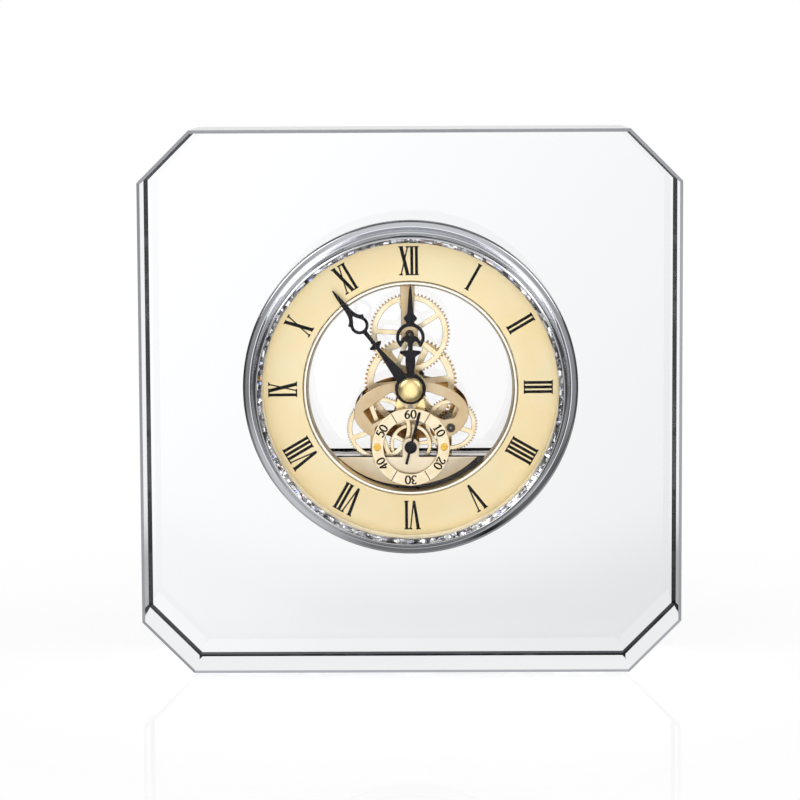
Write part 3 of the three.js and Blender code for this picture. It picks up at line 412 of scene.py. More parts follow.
studio = {
    "lampLeft": {"place": (-0.86, -1.0, 0.86), "size": 0.8, "power": 4.6},
    "lampRight": {"place": (0.92, -0.95, 0.82), "size": 0.75, "power": 3.7},
    "lampAim": (0, 0, 0.08),
    # the room round the object, as metal and bent rays see it: a base level, then soft lights and
    # dark cloth as direction, cosine where it fades in, cosine where it is full, change of level
    "base": 0.45,
    "darkest": 0.015,
    "patches": [
        ((0, 1, 0.05), 0.88, 0.98, 0.45),
        ((0, -1, -0.1), 0.9, 0.98, 0.85),
        ((0, 0.3, 1), 0.6, 0.85, -0.4),
        ((0, -0.94, 0.34), 0.94, 0.99, 0.3),
        ((-0.85, -0.52, 0.05), 0.80, 0.93, -0.33),
        ((0.85, -0.52, 0.05), 0.80, 0.93, -0.28),
        ((-1, 0.3, -0.05), 0.80, 0.93, -0.4),
        ((1, 0.3, -0.05), 0.80, 0.93, -0.4),
        ((0, -0.7, -0.7), 0.90, 0.97, -0.25),
        ((0.55, -0.65, -0.52), 0.92, 0.98, -0.3),
        ((-0.5, -0.72, -0.48), 0.92, 0.98, 0.25),
    ],
    # straight behind the glass: level in the middle, change per unit to the right and upward,
    # and the grey it falls to at the sides
    "behind": {"level": 1.0, "across": -0.73, "upward": 0.5, "side": 0.6, "fadeFrom": 0.2,
               "fadeTo": 0.42},
    # the floor's shades fan out from the block's middle and from a metre in front of it
    "centreFrom": (0, 0, -0.085),
    "fanFrom": (0, 1, -0.189),
    "floorWhite": "#f4f4f6",
    "floorGlow": 0.66,
    "tableFrom": 0.06,
    "tableTo": 0.2,
    "mirrorNear": 0.16,
    "mirrorFrom": 0.02,
    "mirrorReach": 0.3,
    "tableHaze": 0.02,
    "floorDrop": 0.0004,
    "floorHalf": 6,
}


def roomLevel(tree, direction):
    # how bright the room is in a direction
    level = None
    for toward, start, full, change in studio["patches"]:
        facing = addNode(tree, "VectorMath", {1: Vector(toward).normalized()}, {0: direction},
                         operation="DOT_PRODUCT")
        patch = addNode(tree, "MapRange", {"From Min": start, "From Max": full, "To Max": change},
                        {"Value": facing.outputs["Value"]}, interpolation_type="SMOOTHSTEP")
        links = {0: patch.outputs[0], 1: level} if level else {0: patch.outputs[0]}
        level = addNode(tree, "Math", {} if level else {1: studio["base"]}, links,
                        operation="ADD").outputs[0]
    return addNode(tree, "Math", {1: studio["darkest"]}, {0: level}, operation="MAXIMUM").outputs[0]


def behindLevel(tree, direction):
    # the pale backdrop as it shows straight through the glass, dimmer to the lower right
    b = studio["behind"]
    sides = addNode(tree, "SeparateXYZ", links={0: direction})
    across = addNode(tree, "Math", {1: b["across"], 2: b["level"]}, {0: sides.outputs["X"]},
                     operation="MULTIPLY_ADD")
    level = addNode(tree, "Math", {1: b["upward"]}, {0: sides.outputs["Z"], 2: across.outputs[0]},
                    operation="MULTIPLY_ADD")
    aside = addNode(tree, "Math", links={0: sides.outputs["X"]}, operation="ABSOLUTE")
    return addNode(tree, "MapRange", {"From Min": b["fadeFrom"], "From Max": b["fadeTo"],
                                      "To Max": b["side"]},
                   {"Value": aside.outputs[0], "To Min": level.outputs[0]},
                   interpolation_type="SMOOTHSTEP").outputs[0]


def straightRay(tree, path):
    # 1 for a ray that went through glass without being mirrored on its way
    once = addNode(tree, "Math", {1: 0.5}, {0: path.outputs["Glossy Depth"]}, operation="LESS_THAN")
    return addNode(tree, "Math", links={0: once.outputs[0], 1: path.outputs["Is Transmission Ray"]},
                   operation="MULTIPLY").outputs[0]


def addWorld():
    world = bpy.data.worlds.new("studio")
    bpy.context.scene.world = world
    world.use_nodes = True
    tree = world.node_tree
    tree.nodes.clear()
    direction = addNode(tree, "TexCoord").outputs["Generated"]
    path = addNode(tree, "LightPath")
    white = {"Color": (1, 1, 1, 1)}
    around = addNode(tree, "Background", white, {"Strength": roomLevel(tree, direction)})
    behind = addNode(tree, "Background", white, {"Strength": behindLevel(tree, direction)})
    plain = addNode(tree, "Background", {**white, "Strength": 1})
    through = addNode(tree, "MixShader", links={0: straightRay(tree, path), 1: around.outputs[0],
                                                2: behind.outputs[0]})
    mixed = addNode(tree, "MixShader", links={0: path.outputs["Is Camera Ray"], 1: through.outputs[0],
                                              2: plain.outputs[0]})
    addNode(tree, "OutputWorld", links={"Surface": mixed.outputs[0]})


def addLamp(name):
    settings = studio[name]
    light = bpy.data.lights.new(name, "AREA")
    light.size = settings["size"]
    light.energy = settings["power"]
    lamp = bpy.data.objects.new(name, light)
    bpy.context.scene.collection.objects.link(lamp)
    lamp.location = settings["place"]
    toward = Vector(studio["lampAim"]) - lamp.location
    lamp.rotation_euler = toward.to_track_quat("-Z", "Y").to_euler()


def addFloor():
    # white acrylic table, polished: it mirrors the block's foot faintly and the mirror image fades
    material, tree, shader = newMaterial("whiteAcrylicTable", studio["floorWhite"], 0, 0.6)
    shader.inputs["Specular IOR Level"].default_value = 0
    out = next(node for node in tree.nodes if node.type == "OUTPUT_MATERIAL")
    path = addNode(tree, "LightPath")
    place = addNode(tree, "TexCoord").outputs["Object"]
    away = addNode(tree, "VectorMath", links={0: place}, operation="LENGTH").outputs["Value"]
    # lamps can't make a floor wholly white without burning out the object, so what looks at it
    # gets the rest from here
    glow = addNode(tree, "Emission", {"Strength": studio["floorGlow"]})
    shown = addNode(tree, "AddShader", links={0: shader.outputs[0], 1: glow.outputs[0]})
    # bent and mirrored rays see the room's soft levels there instead
    fromCentre = addNode(tree, "VectorMath", {1: studio["centreFrom"]}, {0: place},
                         operation="ADD").outputs[0]
    toward = addNode(tree, "VectorMath", links={0: fromCentre}, operation="NORMALIZE").outputs[0]
    room = addNode(tree, "Emission", links={"Strength": roomLevel(tree, toward)}).outputs[0]
    ahead = addNode(tree, "VectorMath", {1: studio["fanFrom"]}, {0: place}, operation="ADD").outputs[0]
    ahead = addNode(tree, "VectorMath", links={0: ahead}, operation="NORMALIZE").outputs[0]
    behind = addNode(tree, "Emission", links={"Strength": behindLevel(tree, ahead)}).outputs[0]
    through = addNode(tree, "MixShader", links={0: straightRay(tree, path), 1: room, 2: behind})
    mirror = addNode(tree, "MapRange", {
        "From Min": studio["mirrorFrom"], "From Max": studio["mirrorReach"],
        "To Min": studio["mirrorNear"], "To Max": 0}, {"Value": away}, interpolation_type="SMOOTHSTEP")
    polish = addNode(tree, "BsdfGlossy", {"Roughness": studio["tableHaze"]})
    # the table runs out into the white of the backdrop
    far = addNode(tree, "MapRange", {"From Min": studio["tableFrom"], "From Max": studio["tableTo"]},
                  {"Value": away}, interpolation_type="SMOOTHSTEP").outputs[0]
    white = addNode(tree, "Emission", {"Strength": 1}).outputs[0]
    table = addNode(tree, "MixShader", links={0: far, 1: shown.outputs[0], 2: white})
    direct = addNode(tree, "MixShader", links={0: mirror.outputs[0], 1: table.outputs[0],
                                               2: polish.outputs[0]})
    mixed = addNode(tree, "MixShader", links={0: path.outputs["Is Camera Ray"], 1: through.outputs[0],
                                              2: direct.outputs[0]})
    tree.links.new(mixed.outputs[0], out.inputs["Surface"])
    mesh = bpy.data.meshes.new("floor")
    half = studio["floorHalf"]
    corners = [(x, z, 0) for x, z in rectangle(0, half, -half, half)]
    mesh.from_pydata(corners, [], [(0, 1, 2, 3)])
    mesh.materials.append(material)
    floor = bpy.data.objects.new("floor", mesh)
    floor.location = (0, 0, -studio["floorDrop"])  # so that no face shares the block's lowest plane
    bpy.context.scene.collection.objects.link(floor)


bpy.context.scene.view_settings.view_transform = "Standard"
addCamera()
addWorld()
addLamp("lampLeft")
addLamp("lampRight")
addFloor()
print("studio ready")


# materials

def opticalGlass(name, colour, tint, bend=1.517):
    # crown glass, cast, cut and hand polished: clear as water, with a faint grey in the thick of it
    material, tree, shader = newMaterial(name, colour, 0, 0, **{"Transmission Weight": 1, "IOR": bend})
    # polishing leaves very shallow waves, about 12 mm apart
    grain(tree, shader, 12, 0.0006, detail=1)
    return letLampsThrough(material, tree, shader, tint)


def groundGlass(name, colour, tint):
    # the narrow bevels: glass tinted grey both ways, a painted shade that stands in for the dark they
    # mirror and bend
    material, tree, shader = newMaterial(name, colour, 0, 0)
    out = next(node for node in tree.nodes if node.type == "OUTPUT_MATERIAL")
    tree.nodes.remove(shader)
    edge = addNode(tree, "BsdfGlass", {"Color": linear(colour), "Roughness": 0, "IOR": 1.517})
    tree.links.new(edge.outputs[0], out.inputs["Surface"])
    grain(tree, edge, 6, 0.0005, detail=1)
    return letLampsThrough(material, tree, edge, tint)


def workedSurface(name, colour, metallic, roughness, varies, size, depth, detail=2.0,
                  stretch=(1, 1, 1), **more):
    # each of varies is a socket, the two ends it wanders between and the size of its patches, then
    # come the grain's size and depth, all in mm
    material, tree, shader = newMaterial(name, colour, metallic, roughness, **more)
    for socket, *wander in varies:
        varied(tree, shader, socket, *wander)
    grain(tree, shader, size, depth, detail, stretch)
    return material


def giltWheel(name, root, teeth):
    # a gilded wheel: its rim is pale, its teeth painted darker, a painted shade between and behind them
    material, tree, shader = newMaterial(name, "#eddcb9", 1, 0.24)
    ramp = varied(tree, shader, "Base Color", "#e6d0a4", "#f4e8cd", 3)
    grain(tree, shader, 0.25, 0.002, stretch=(1, 1, 0.15))
    place = addNode(tree, "TexCoord").outputs["Object"]
    across = addNode(tree, "VectorMath", {1: (1, 0, 1)}, {0: place}, operation="MULTIPLY").outputs[0]
    radius = addNode(tree, "VectorMath", links={0: across}, operation="LENGTH").outputs["Value"]
    cut = addNode(tree, "MapRange", {"From Min": (root - 0.05) * mm, "From Max": (root + 0.2) * mm},
                  {"Value": radius})
    mixed = addNode(tree, "Mix", {7: linear(teeth)}, {0: cut.outputs[0], 6: ramp.outputs[0]},
                    data_type="RGBA")
    tree.links.new(mixed.outputs[2], shader.inputs["Base Color"])
    return material


def clearAcrylic():
    # acrylic, injection moulded: clear with flow waves that bend what shows through it
    material, tree, shader = newMaterial("clearAcrylicCase", "#ffffff", 0, 0.02,
                                         **{"Transmission Weight": 1, "IOR": 1.49})
    grain(tree, shader, 9, 0.01, detail=3)
    return letLampsThrough(material, tree, shader, "#f8f8f8")


def cutAcrylicRing():
    # acrylic ring, cut in small facets and silvered behind; its glitter is painted: each facet cell gets
    # its own painted shade from dark grey to white, a few a painted spark of blue or orange; its facets are
    # drawn 1.3 mm wide, coarser than the real ones, so that they show
    material, tree, shader = newMaterial("cutAcrylicRing", "#e6e6ea", 0.9, 0.12)
    place = addNode(tree, "TexCoord").outputs["Object"]
    cells = addNode(tree, "TexVoronoi", {"Scale": perMetre(1.3)}, {"Vector": place})
    spread = addNode(tree, "SeparateColor", links={0: cells.outputs["Color"]})
    # painted glints: the cells' colours stand in for light and dark mirrored in the facets
    ramp = addNode(tree, "ValToRGB", links={"Fac": spread.outputs[0]})
    setStops(ramp, ((0, "#4a4a4f"), (1, "#ffc890"), (0.25, "#85858a"), (0.5, "#c6c6ca"),
                    (0.8, "#f6f6f8"), (0.92, "#ffffff"), (0.95, "#b8caff")))
    tree.links.new(ramp.outputs[0], shader.inputs["Base Color"])
    bump = addNode(tree, "Bump", {"Strength": 1, "Distance": 0.12 * mm},
                   {"Height": cells.outputs["Distance"]})
    tree.links.new(bump.outputs[0], shader.inputs["Normal"])
    return material


def turnedAcrylicBore():
    # the ring's turned bore: painted shade under the lip, then pale, then a painted gold reflection by the
    # dial
    material, tree, shader = newMaterial("turnedAcrylicBore", "#8e8c88", 0.3, 0.3)
    place = addNode(tree, "TexCoord").outputs["Object"]
    depth = addNode(tree, "SeparateXYZ", links={0: place}).outputs["Y"]
    wander = addNode(tree, "TexNoise", {"Scale": perMetre(6), "Detail": 2}, {"Vector": place})
    shift = addNode(tree, "Math", {1: 6 * mm}, {0: wander.outputs[0], 2: depth}, operation="MULTIPLY_ADD")
    share = addNode(tree, "MapRange", {"From Min": -12.5 * mm, "From Max": 2 * mm},
                    {"Value": shift.outputs[0]})
    ramp = addNode(tree, "ValToRGB", links={"Fac": share.outputs[0]})
    # painted shade and reflection by depth: dark at the lip, warm olive by the dial
    setStops(ramp, ((0, "#3a3936"), (1, "#6b6038"), (0.18, "#4c4b4a"), (0.3, "#dcdad4"),
                    (0.7, "#fbf3e2"), (0.86, "#d9cfae")))
    tree.links.new(ramp.outputs[0], shader.inputs["Base Color"])
    grain(tree, shader, 0.8, 0.01)
    return material


def mouldedPlastic(name, colour, roughness, lift):
    # injection moulded in a spark-eroded tool: an even fine texture and a soft shine
    return workedSurface(name, colour, 0, roughness,
                         [("Roughness", roughness * 0.8, roughness * 1.25, 2)], 0.4, lift, 3)


def bareMetal(name, colour, roughness, size, depth, stretch=(1, 1, 1)):
    # rolled, drawn or turned and left so: its shine comes and goes in patches
    return workedSurface(name, colour, 1, roughness,
                         [("Roughness", roughness * 0.8, roughness * 1.3, size * 6)], size, depth,
                         stretch=stretch)


# painted light along the case's top: colour and shine of the painted highlight streak and shade
paintedSheenStops = {
    "Base Color": ((0.26, "#0b0705"), (0.34, "#c9c1b6"), (0.48, "#efe9e0"), (0.56, "#4a3626"),
                   (0.76, "#6d563c"), (0.84, "#2a1c10"), (0.9, "#080504")),
    "Specular IOR Level": ((0.26, 0.0), (0.34, 0.4), (0.48, 0.5), (0.54, 0.0), (0.72, 0.1), (0.8, 0.0)),
}


def glossyCase(front, back):
    # dark brown ABS, moulded and polished, seen along its top, painted by depth: a black front edge, a
    # painted highlight streak of the white behind, painted brown shade and a black rear edge
    material, tree, shader = newMaterial("paintedSheenCaseAbs", "#2a1a12", 0, 0.08)
    place = addNode(tree, "TexCoord").outputs["Object"]
    stretched = addNode(tree, "Mapping", {"Scale": (1, 0.2, 1)}, {"Vector": place}).outputs[0]
    wander = addNode(tree, "TexNoise", {"Scale": perMetre(7), "Detail": 2.5},
                     {"Vector": stretched}).outputs[0]
    depth = addNode(tree, "SeparateXYZ", links={0: place}).outputs["Y"]
    share = addNode(tree, "MapRange", {"From Min": front, "From Max": back}, {"Value": depth}).outputs[0]
    share = addNode(tree, "Math", {1: 0.3}, {0: wander, 2: share}, operation="MULTIPLY_ADD").outputs[0]
    for socket, stops in paintedSheenStops.items():
        ramp = addNode(tree, "ValToRGB", links={"Fac": share})
        setStops(ramp, stops)
        tree.links.new(ramp.outputs[0], shader.inputs[socket])
    grain(tree, shader, 3, 0.001)
    return material


def epoxyBoard():
    # glass-epoxy circuit board under green solder mask: a weave of 0.5 mm shows through it
    material, tree, shader = newMaterial("epoxyBoard", "#2c5c3c", 0, 0.4)
    place = addNode(tree, "TexCoord")
    weave = addNode(tree, "TexChecker", {"Scale": perMetre(0.5), "Color1": linear("#2a5a3a"),
                                         "Color2": linear("#33684a")}, {"Vector": place.outputs["Object"]})
    tree.links.new(weave.outputs[0], shader.inputs["Base Color"])
    return material


def enamelledWire():
    # copper wire, enamelled and layer wound: rust-red turns 0.25 mm apart
    material, tree, shader = newMaterial("enamelledWire", "#b0643a", 1, 0.3)
    place = addNode(tree, "TexCoord")
    turns = addNode(tree, "TexWave", {"Scale": perMetre(0.25) / 20}, {"Vector": place.outputs["Object"]})
    bump = addNode(tree, "Bump", {"Distance": 0.1 * mm}, {"Height": turns.outputs["Fac"]})
    tree.links.new(bump.outputs[0], shader.inputs["Normal"])
    return material


glass = opticalGlass("crownGlass", "#fafbfc", "#f0f0f0")
# the bevels' tints are painted shade: grey at the front, darker grey at the back, for the dark strips along
# the block's edges
frontBevelShade = groundGlass("crownGlassFrontBevelShade", "#a9aaaf", "#e0e0e0")
backBevel = groundGlass("crownGlassBackBevelShade", "#55555a", "#d0d0d0")
lensGlass = opticalGlass("coatedGlassLens", "#ffffff", "#f6f6f6", 1.12)  # the coating hardly mirrors
# brass, machined, buffed and chrome plated: mirror bright with hazy polishing swirls
chrome = workedSurface("polishedChrome", "#dfe1e6", 1, 0.06, [("Roughness", 0.04, 0.11, 4)], 2.5, 0.0012)
# brass sheet, bead blasted and gold plated: an even pale satin, its 0.05 mm beads drawn coarser so
# that they show
dialGold = workedSurface("satinGoldDial", "#fdeabc", 1, 0.45, [("Base Color", "#fde8b6", "#fdeec6", 14)],
                         0.35, 0.006, 4)
# brass plate, fine satin and champagne plated: a soft flat sheen; a paler copy for the lower plate is
# painted light
champagne = workedSurface("champagnePlate", "#d5bd98", 1, 0.38, [
    ("Base Color", "#ccb289", "#decaa9", 6), ("Roughness", 0.34, 0.42, 3)], 0.3, 0.003, 3)
litChampagne = workedSurface("paintedLightChampagnePlate", "#f7e6c8", 1, 0.38, [
    ("Base Color", "#f0debd", "#fbedd4", 6), ("Roughness", 0.34, 0.42, 3)], 0.3, 0.003, 3)
# brass sheet, stamped and gilded: pale gold with rolling lines in the sheet
gilt = workedSurface("giltBrass", "#e8d9b9", 1, 0.26, [("Base Color", "#e3d1ac", "#eee0c4", 3)],
                     0.25, 0.002, stretch=(1, 1, 0.15))
# brass, turned and lacquered: yellow and bright, with faint turning lines
brass = workedSurface("polishedBrass", "#fde6a6", 1, 0.27, [("Roughness", 0.23, 0.31, 1.5)], 0.6, 0.001)
# brass, polished and lacquered: deep browns beside bright gold, painted reflection and shade of the
# movement's dark
shadedBrass = workedSurface("paintedShadeBrass", "#a87a3a", 1, 0.16, [
    ("Base Color", "#5a3818", "#d9a75a", 8, 1, (0.4, 0.62))], 3, 0.02)
# free-cutting steel, ground: cool grey with drawn lines
steel = workedSurface("groundSteel", "#a8a29a", 1, 0.3, [("Roughness", 0.22, 0.38, 1)],
                      0.2, 0.002, stretch=(1, 0.1, 1))
# steel hands, stamped and lacquered satin black: charcoal on the flat and darker on the edges
lacquer = workedSurface("blackLacquer", "#1b1a1f", 0, 0.45, [("Base Color", "#19181d", "#1f1e24", 2.5)],
                        0.5, 0.002, **{"Specular IOR Level": 0.12})
# pad-printed enamel ink: flat black, a little glossy, a hair above the plate
ink = workedSurface("printedInk", "#0c0b0f", 0, 0.4, [("Roughness", 0.35, 0.5, 0.8)],
                    0.3, 0.002, **{"Specular IOR Level": 0.15})
# brass trim, turned and plated pale nickel: a clean warm white from in front
nickel = workedSurface("paleNickelTrim", "#f2ede2", 1, 0.14, [("Roughness", 0.1, 0.18, 2)], 1.2, 0.001)
# nitrile rubber, moulded: dull black with a dusty bloom
rubber = workedSurface("mouldedRubber", "#242426", 0, 0.75, [("Base Color", "#1f1f21", "#343436", 3)],
                       0.5, 0.02)
sparkle = cutAcrylicRing()
shadedBore = turnedAcrylicBore()
clearCase = clearAcrylic()
blackAbs = mouldedPlastic("blackAbs", "#1d1d1f", 0.45, 0.006)
greyPlastic = mouldedPlastic("greyAcetal", "#8b8c8e", 0.5, 0.004)
board = epoxyBoard()
wire = enamelledWire()
# steel can, drawn and nickel plated: bright cool grey
cellShell = bareMetal("nickelPlatedCell", "#b9bcc0", 0.22, 1.5, 0.002)
# silicon steel, rolled and punched: mid grey with lines along the sheet
sheetSteel = bareMetal("siliconSteelSheet", "#8d8f93", 0.35, 0.3, 0.003, (0.1, 1, 1))
# brass, turned: a dull olive gold in the trim's bore, painted shade and reflection
shadedTrimBore = bareMetal("paintedShadeTrimBore", "#c9b48c", 0.3, 0.6, 0.003)
# brass, turned and polished: the strongest yellow on the clock
yellowBrass = bareMetal("yellowBrassScrew", "#f2c55c", 0.25, 0.5, 0.003)
# bronze, turned and blackened in oil: brown-black with a low shine
bushing = bareMetal("blackenedBronze", "#57504c", 0.3, 0.3, 0.002)
print("materials ready")


# glass block

block = {"halfWidth": 83.5, "height": 168, "halfDepth": 25, "cut": 16, "bevel": 1, "backBevel": 0.7,
         "bore": 47, "boreEdge": 0.35, "sides": 160}


def blockLoop(inset):
    x, top = block["halfWidth"] - inset, block["height"] - inset
    cut = block["cut"] - inset * (2 - math.sqrt(2))
    around = [(x - cut, inset), (x, inset + cut), (x, top - cut), (x - cut, top),
              (cut - x, top), (-x, top - cut), (-x, inset + cut), (cut - x, inset)]
    return [(px, pz - dialCentre[2]) for px, pz in around]


def addBlock():
    # the whole block is one closed mesh: faces with the bore in them, bevels, sides and the bore's wall
    depth, bevel, ease = 2 * block["halfDepth"], block["bevel"], block["boreEdge"]
    rear = block["backBevel"]
    outer, inner = blockLoop(0), blockLoop(bevel)
    ring = circle(block["bore"], block["sides"])
    wide = circle(block["bore"] + ease, block["sides"])
    count, around = len(outer), len(ring)
    corners, faces, slots = [], [], []

    def level(loop, y):
        corners.extend((x, y, z) for x, z in loop)
        return list(range(len(corners) - len(loop), len(corners)))

    def band(a, b, slot):
        for i in range(len(a)):
            j = (i + 1) % len(a)
            faces.append((a[i], a[j], b[j], b[i]))
            slots.append(slot)

    rims = [level(inner, 0), level(outer, bevel), level(outer, depth - rear), level(blockLoop(rear), depth)]
    bores = [level(wide, 0), level(ring, ease), level(ring, depth - ease), level(wide, depth)]
    for slot, (a, b) in zip((1, 0, 2), zip(rims, rims[1:])):
        band(a, b, slot)
    for slot, (a, b) in zip((1, 0, 1), zip(bores, bores[1:])):
        band(b, a, slot)
    for rim, bore in ((rims[0], bores[0]), (rims[-1], bores[-1])):
        loops = [[corners[i] for i in rim], [corners[i] for i in bore]]
        points = [Vector((x, z)) for loop in loops for x, y, z in loop]
        edges = [(i, (i + 1) % count) for i in range(count)]
        edges += [(count + i, count + (i + 1) % around) for i in range(around)]
        found = delaunay_2d_cdt(points, edges, [], 0, 1e-6)
        order = rim + bore
        for triangle in found[2]:
            ids = [found[3][i][0] for i in triangle]
            middle = sum((points[i] for i in ids), Vector((0, 0))) / 3
            if middle.length > block["bore"]:
                faces.append(tuple(order[i] for i in ids))
                slots.append(0)
    mesh = bpy.data.meshes.new("glassBlock")
    mesh.from_pydata([Vector(corner) * mm for corner in corners], [], faces)
    mesh.polygons.foreach_set("material_index", slots)
    shape = bmesh.new()
    shape.from_mesh(mesh)
    bmesh.ops.recalc_face_normals(shape, faces=shape.faces)
    shape.to_mesh(mesh)
    shape.free()
    mesh.shade_smooth()
    mesh.set_sharp_from_angle(angle=math.radians(20))
    addPiece("glassBlock", mesh, [glass, frontBevelShade, backBevel], "clock", ["crystal_block"])


addBlock()
print("glass block ready")


# bezel, lens and the clear ring behind it, from sections of (radius, y)

bezel = {"sides": 240, "easing": 0.25, "section": [
    (47.4, 0), (51.5, 0), (51.5, -0.6), (51.25, -1.1), (50.9, -1.45), (49.32, -1.8),  # flange
    (48.92, -1.52), (48.86, -2.4), (48.7, -6), (48.35, -11), (48.1, -12.8),  # groove and wall
    (47.6, -14.05), (47.15, -14.8), (46.6, -15), (46.4, -14.85), (46.4, -14.5), (47.4, -14.5)]}  # lip
lens = {"sides": 200, "section": [(0, -14.5), (47.2, -14.5), (47.3, -14.4), (47.3, -13.4),
                                  (46.8, -12.9), (0, -12.9)]}


def addBezel():
    ring = turnedMesh("bezelRing", rounded(bezel["section"], bezel["easing"]), bezel["sides"])
    addPiece("bezelRing", ring, chrome, "clock", ["bezel"])
    glassDisc = turnedMesh("frontLens", lens["section"], lens["sides"])
    addPiece("frontLens", glassDisc, lensGlass, "clock", ["lens"])


spacer = {"outer": 47.3, "front": -12.9, "back": -1.7, "foot": -2.65, "seat": 45.6, "bore": 45.1,
          "mouth": [(46.75, -12.86), (46.3, -12.7), (45.8, -12.5), (45.35, -12.3)],
          "bands": (-9.2, -6.2, -3.4), "bandHalf": 0.25, "bandDepth": 0.14, "facets": 420,
          "tiltOut": (-0.2, 0.2), "tiltBack": (-0.3, 0.9), "jitter": 0.3, "boreFrom": 0.15,
          "shadedBoreFrom": 0.1}


def addSpacer():
    # the mouth under the lens is cut in facets that each tilt their own way, and the bore has three
    # faint turned bands; together they make the broken sparkle round the dial
    s = spacer
    mouth = 2 + len(s["mouth"])
    mouthBack = s["mouth"][-1][1]
    profile = [(s["outer"], s["back"]), (s["outer"], s["front"])] + s["mouth"]
    profile += [(s["bore"], mouthBack + s["boreFrom"])]
    for y in s["bands"]:
        profile += [(s["bore"], y - s["bandHalf"]), (s["bore"] + s["bandDepth"], y),
                    (s["bore"], y + s["bandHalf"])]
    profile += [(s["bore"], s["foot"]), (s["seat"], s["foot"]), (s["seat"], s["back"])]
    tilts = {}

    def cut(i, k):
        if not 2 < i < mouth:
            return 0, 0
        key = (i, k // (3 + (k // 12 * 7 + i) % 4))
        if key not in tilts:
            tilts[key] = (random.uniform(*s["tiltOut"]), random.uniform(*s["tiltBack"]) * s["jitter"])
        return tilts[key]

    mesh = turnedMesh("clearSpacer", profile, s["facets"], angle=5, wobble=cut)
    for face in mesh.polygons:
        # the bore behind the mouth was only turned, and carries the painted shade
        if face.center.y / mm > mouthBack + s["shadedBoreFrom"]:
            face.material_index = 1
    addPiece("clearSpacer", mesh, [sparkle, shadedBore], "clock", ["lens_spacer"])


addBezel()
addSpacer()
print("bezel ready")


# dial ring with its numerals

dial = {"outer": 45.5, "inner": 33.0, "front": -2.5, "thickness": 0.8, "numeralFoot": 34.7,
        "numeralHeight": 8.9, "numeralTurn": -0.4, "inkHeight": 0.03, "inkSunk": 0.02, "trimBore": 31.77,
        "trimSection": [(31.2, 1.0), (31.75, -2.65), (31.95, -2.9), (32.6, -2.9), (32.9, -2.6),
                        (32.9, 1.0)]}

letterAdvance = {"I": 1.42, "V": 3.3, "X": 3.15}


def serif(x, z, half, up):
    # a thin foot with short brackets towards the stem
    return [(x - half, z), (x + half, z), (x + half, z + 0.24 * up), (x + 0.46, z + 0.46 * up),
            (x - 0.46, z + 0.46 * up), (x - half, z + 0.24 * up)]


def stroke(x0, x1, width, top):
    return [(x0 - width / 2, 0), (x0 + width / 2, 0), (x1 + width / 2, top), (x1 - width / 2, top)]


def letterAreas(letter, top):
    if letter == "I":
        return [stroke(0, 0, 0.9, top), serif(0, 0, 0.72, 1), serif(0, top, 0.72, -1)]
    if letter == "X":
        return [stroke(1.05, -1.05, 1.08, top), stroke(-1.05, 1.05, 0.42, top), serif(1.05, 0, 0.78, 1),
                serif(-1.05, 0, 0.6, 1), serif(-1.05, top, 0.78, -1), serif(1.05, top, 0.6, -1)]
    return [[(-0.36, 0), (0.46, 0), (-0.74, top), (-1.76, top)],
            [(-0.1, 0), (0.36, 0), (1.4, top), (0.98, top)],
            serif(-1.26, top, 0.78, -1), serif(1.19, top, 0.58, -1)]


def addDial():
    d = dial
    ringMesh = flatMesh("dialRing", [circle(d["outer"], 200)], d["front"], d["thickness"],
                        [circle(d["inner"], 160)], edge=0.12, steps=2)
    addPiece("dialRing", ringMesh, dialGold, "clock", ["dial_ring"])
    areas = []
    for hour, text in enumerate("XII I II III IIII V VI VII VIII IX X XI".split()):
        width = sum(letterAdvance[letter] for letter in text)
        x = -width / 2
        for letter in text:
            x += letterAdvance[letter] / 2
            for area in letterAreas(letter, d["numeralHeight"]):
                placed = [(x + px, d["numeralFoot"] + pz) for px, pz in area]
                areas.append(turned2d(placed, 30 * hour + d["numeralTurn"]))
            x += letterAdvance[letter] / 2
    inkMesh = flatMesh("hourNumerals", areas, d["front"] - d["inkHeight"], d["inkHeight"] + d["inkSunk"],
                       edge=0)
    addPiece("hourNumerals", inkMesh, ink, "clock")
    trimMesh = turnedMesh("dialInnerTrim", rounded(d["trimSection"], 0.1), 200)
    for face in trimMesh.polygons:
        # its bore is painted a dull olive gold for shade and reflection; the nickel stops at the front edge
        middle = face.center / mm
        if math.hypot(middle.x, middle.z) < d["trimBore"]:
            face.material_index = 1
    addPiece("dialInnerTrim", trimMesh, [nickel, shadedTrimBore], "clock", ["dial_inner_ring"])


addDial()
print("dial ready")


# hands: a few outline points each, from the hub to the tip, right side only

hands = {"thickness": 0.5, "edge": 0.16, "crown": 0.1, "hourFront": -4.6, "minuteFront": -5.9,
         "secondsFront": -1.6, "secondsThickness": 0.4, "hourTurn": 0.2, "minuteTurn": -38,
         "secondsTurn": 14.5, "hourHub": 4.73, "hourBore": 1.7, "minuteHub": 4.1, "minuteBore": 1.0,
         "crownReach": 1.1, "crownGrid": 0.45, "backEdge": 0.05,
         "bossSection": [(0.36, -1.2), (1.9, -1.2), (1.9, -1.9), (1.5, -2.2), (0.0, -2.2), (0.0, -1.7),
                         (0.36, -1.7)]}


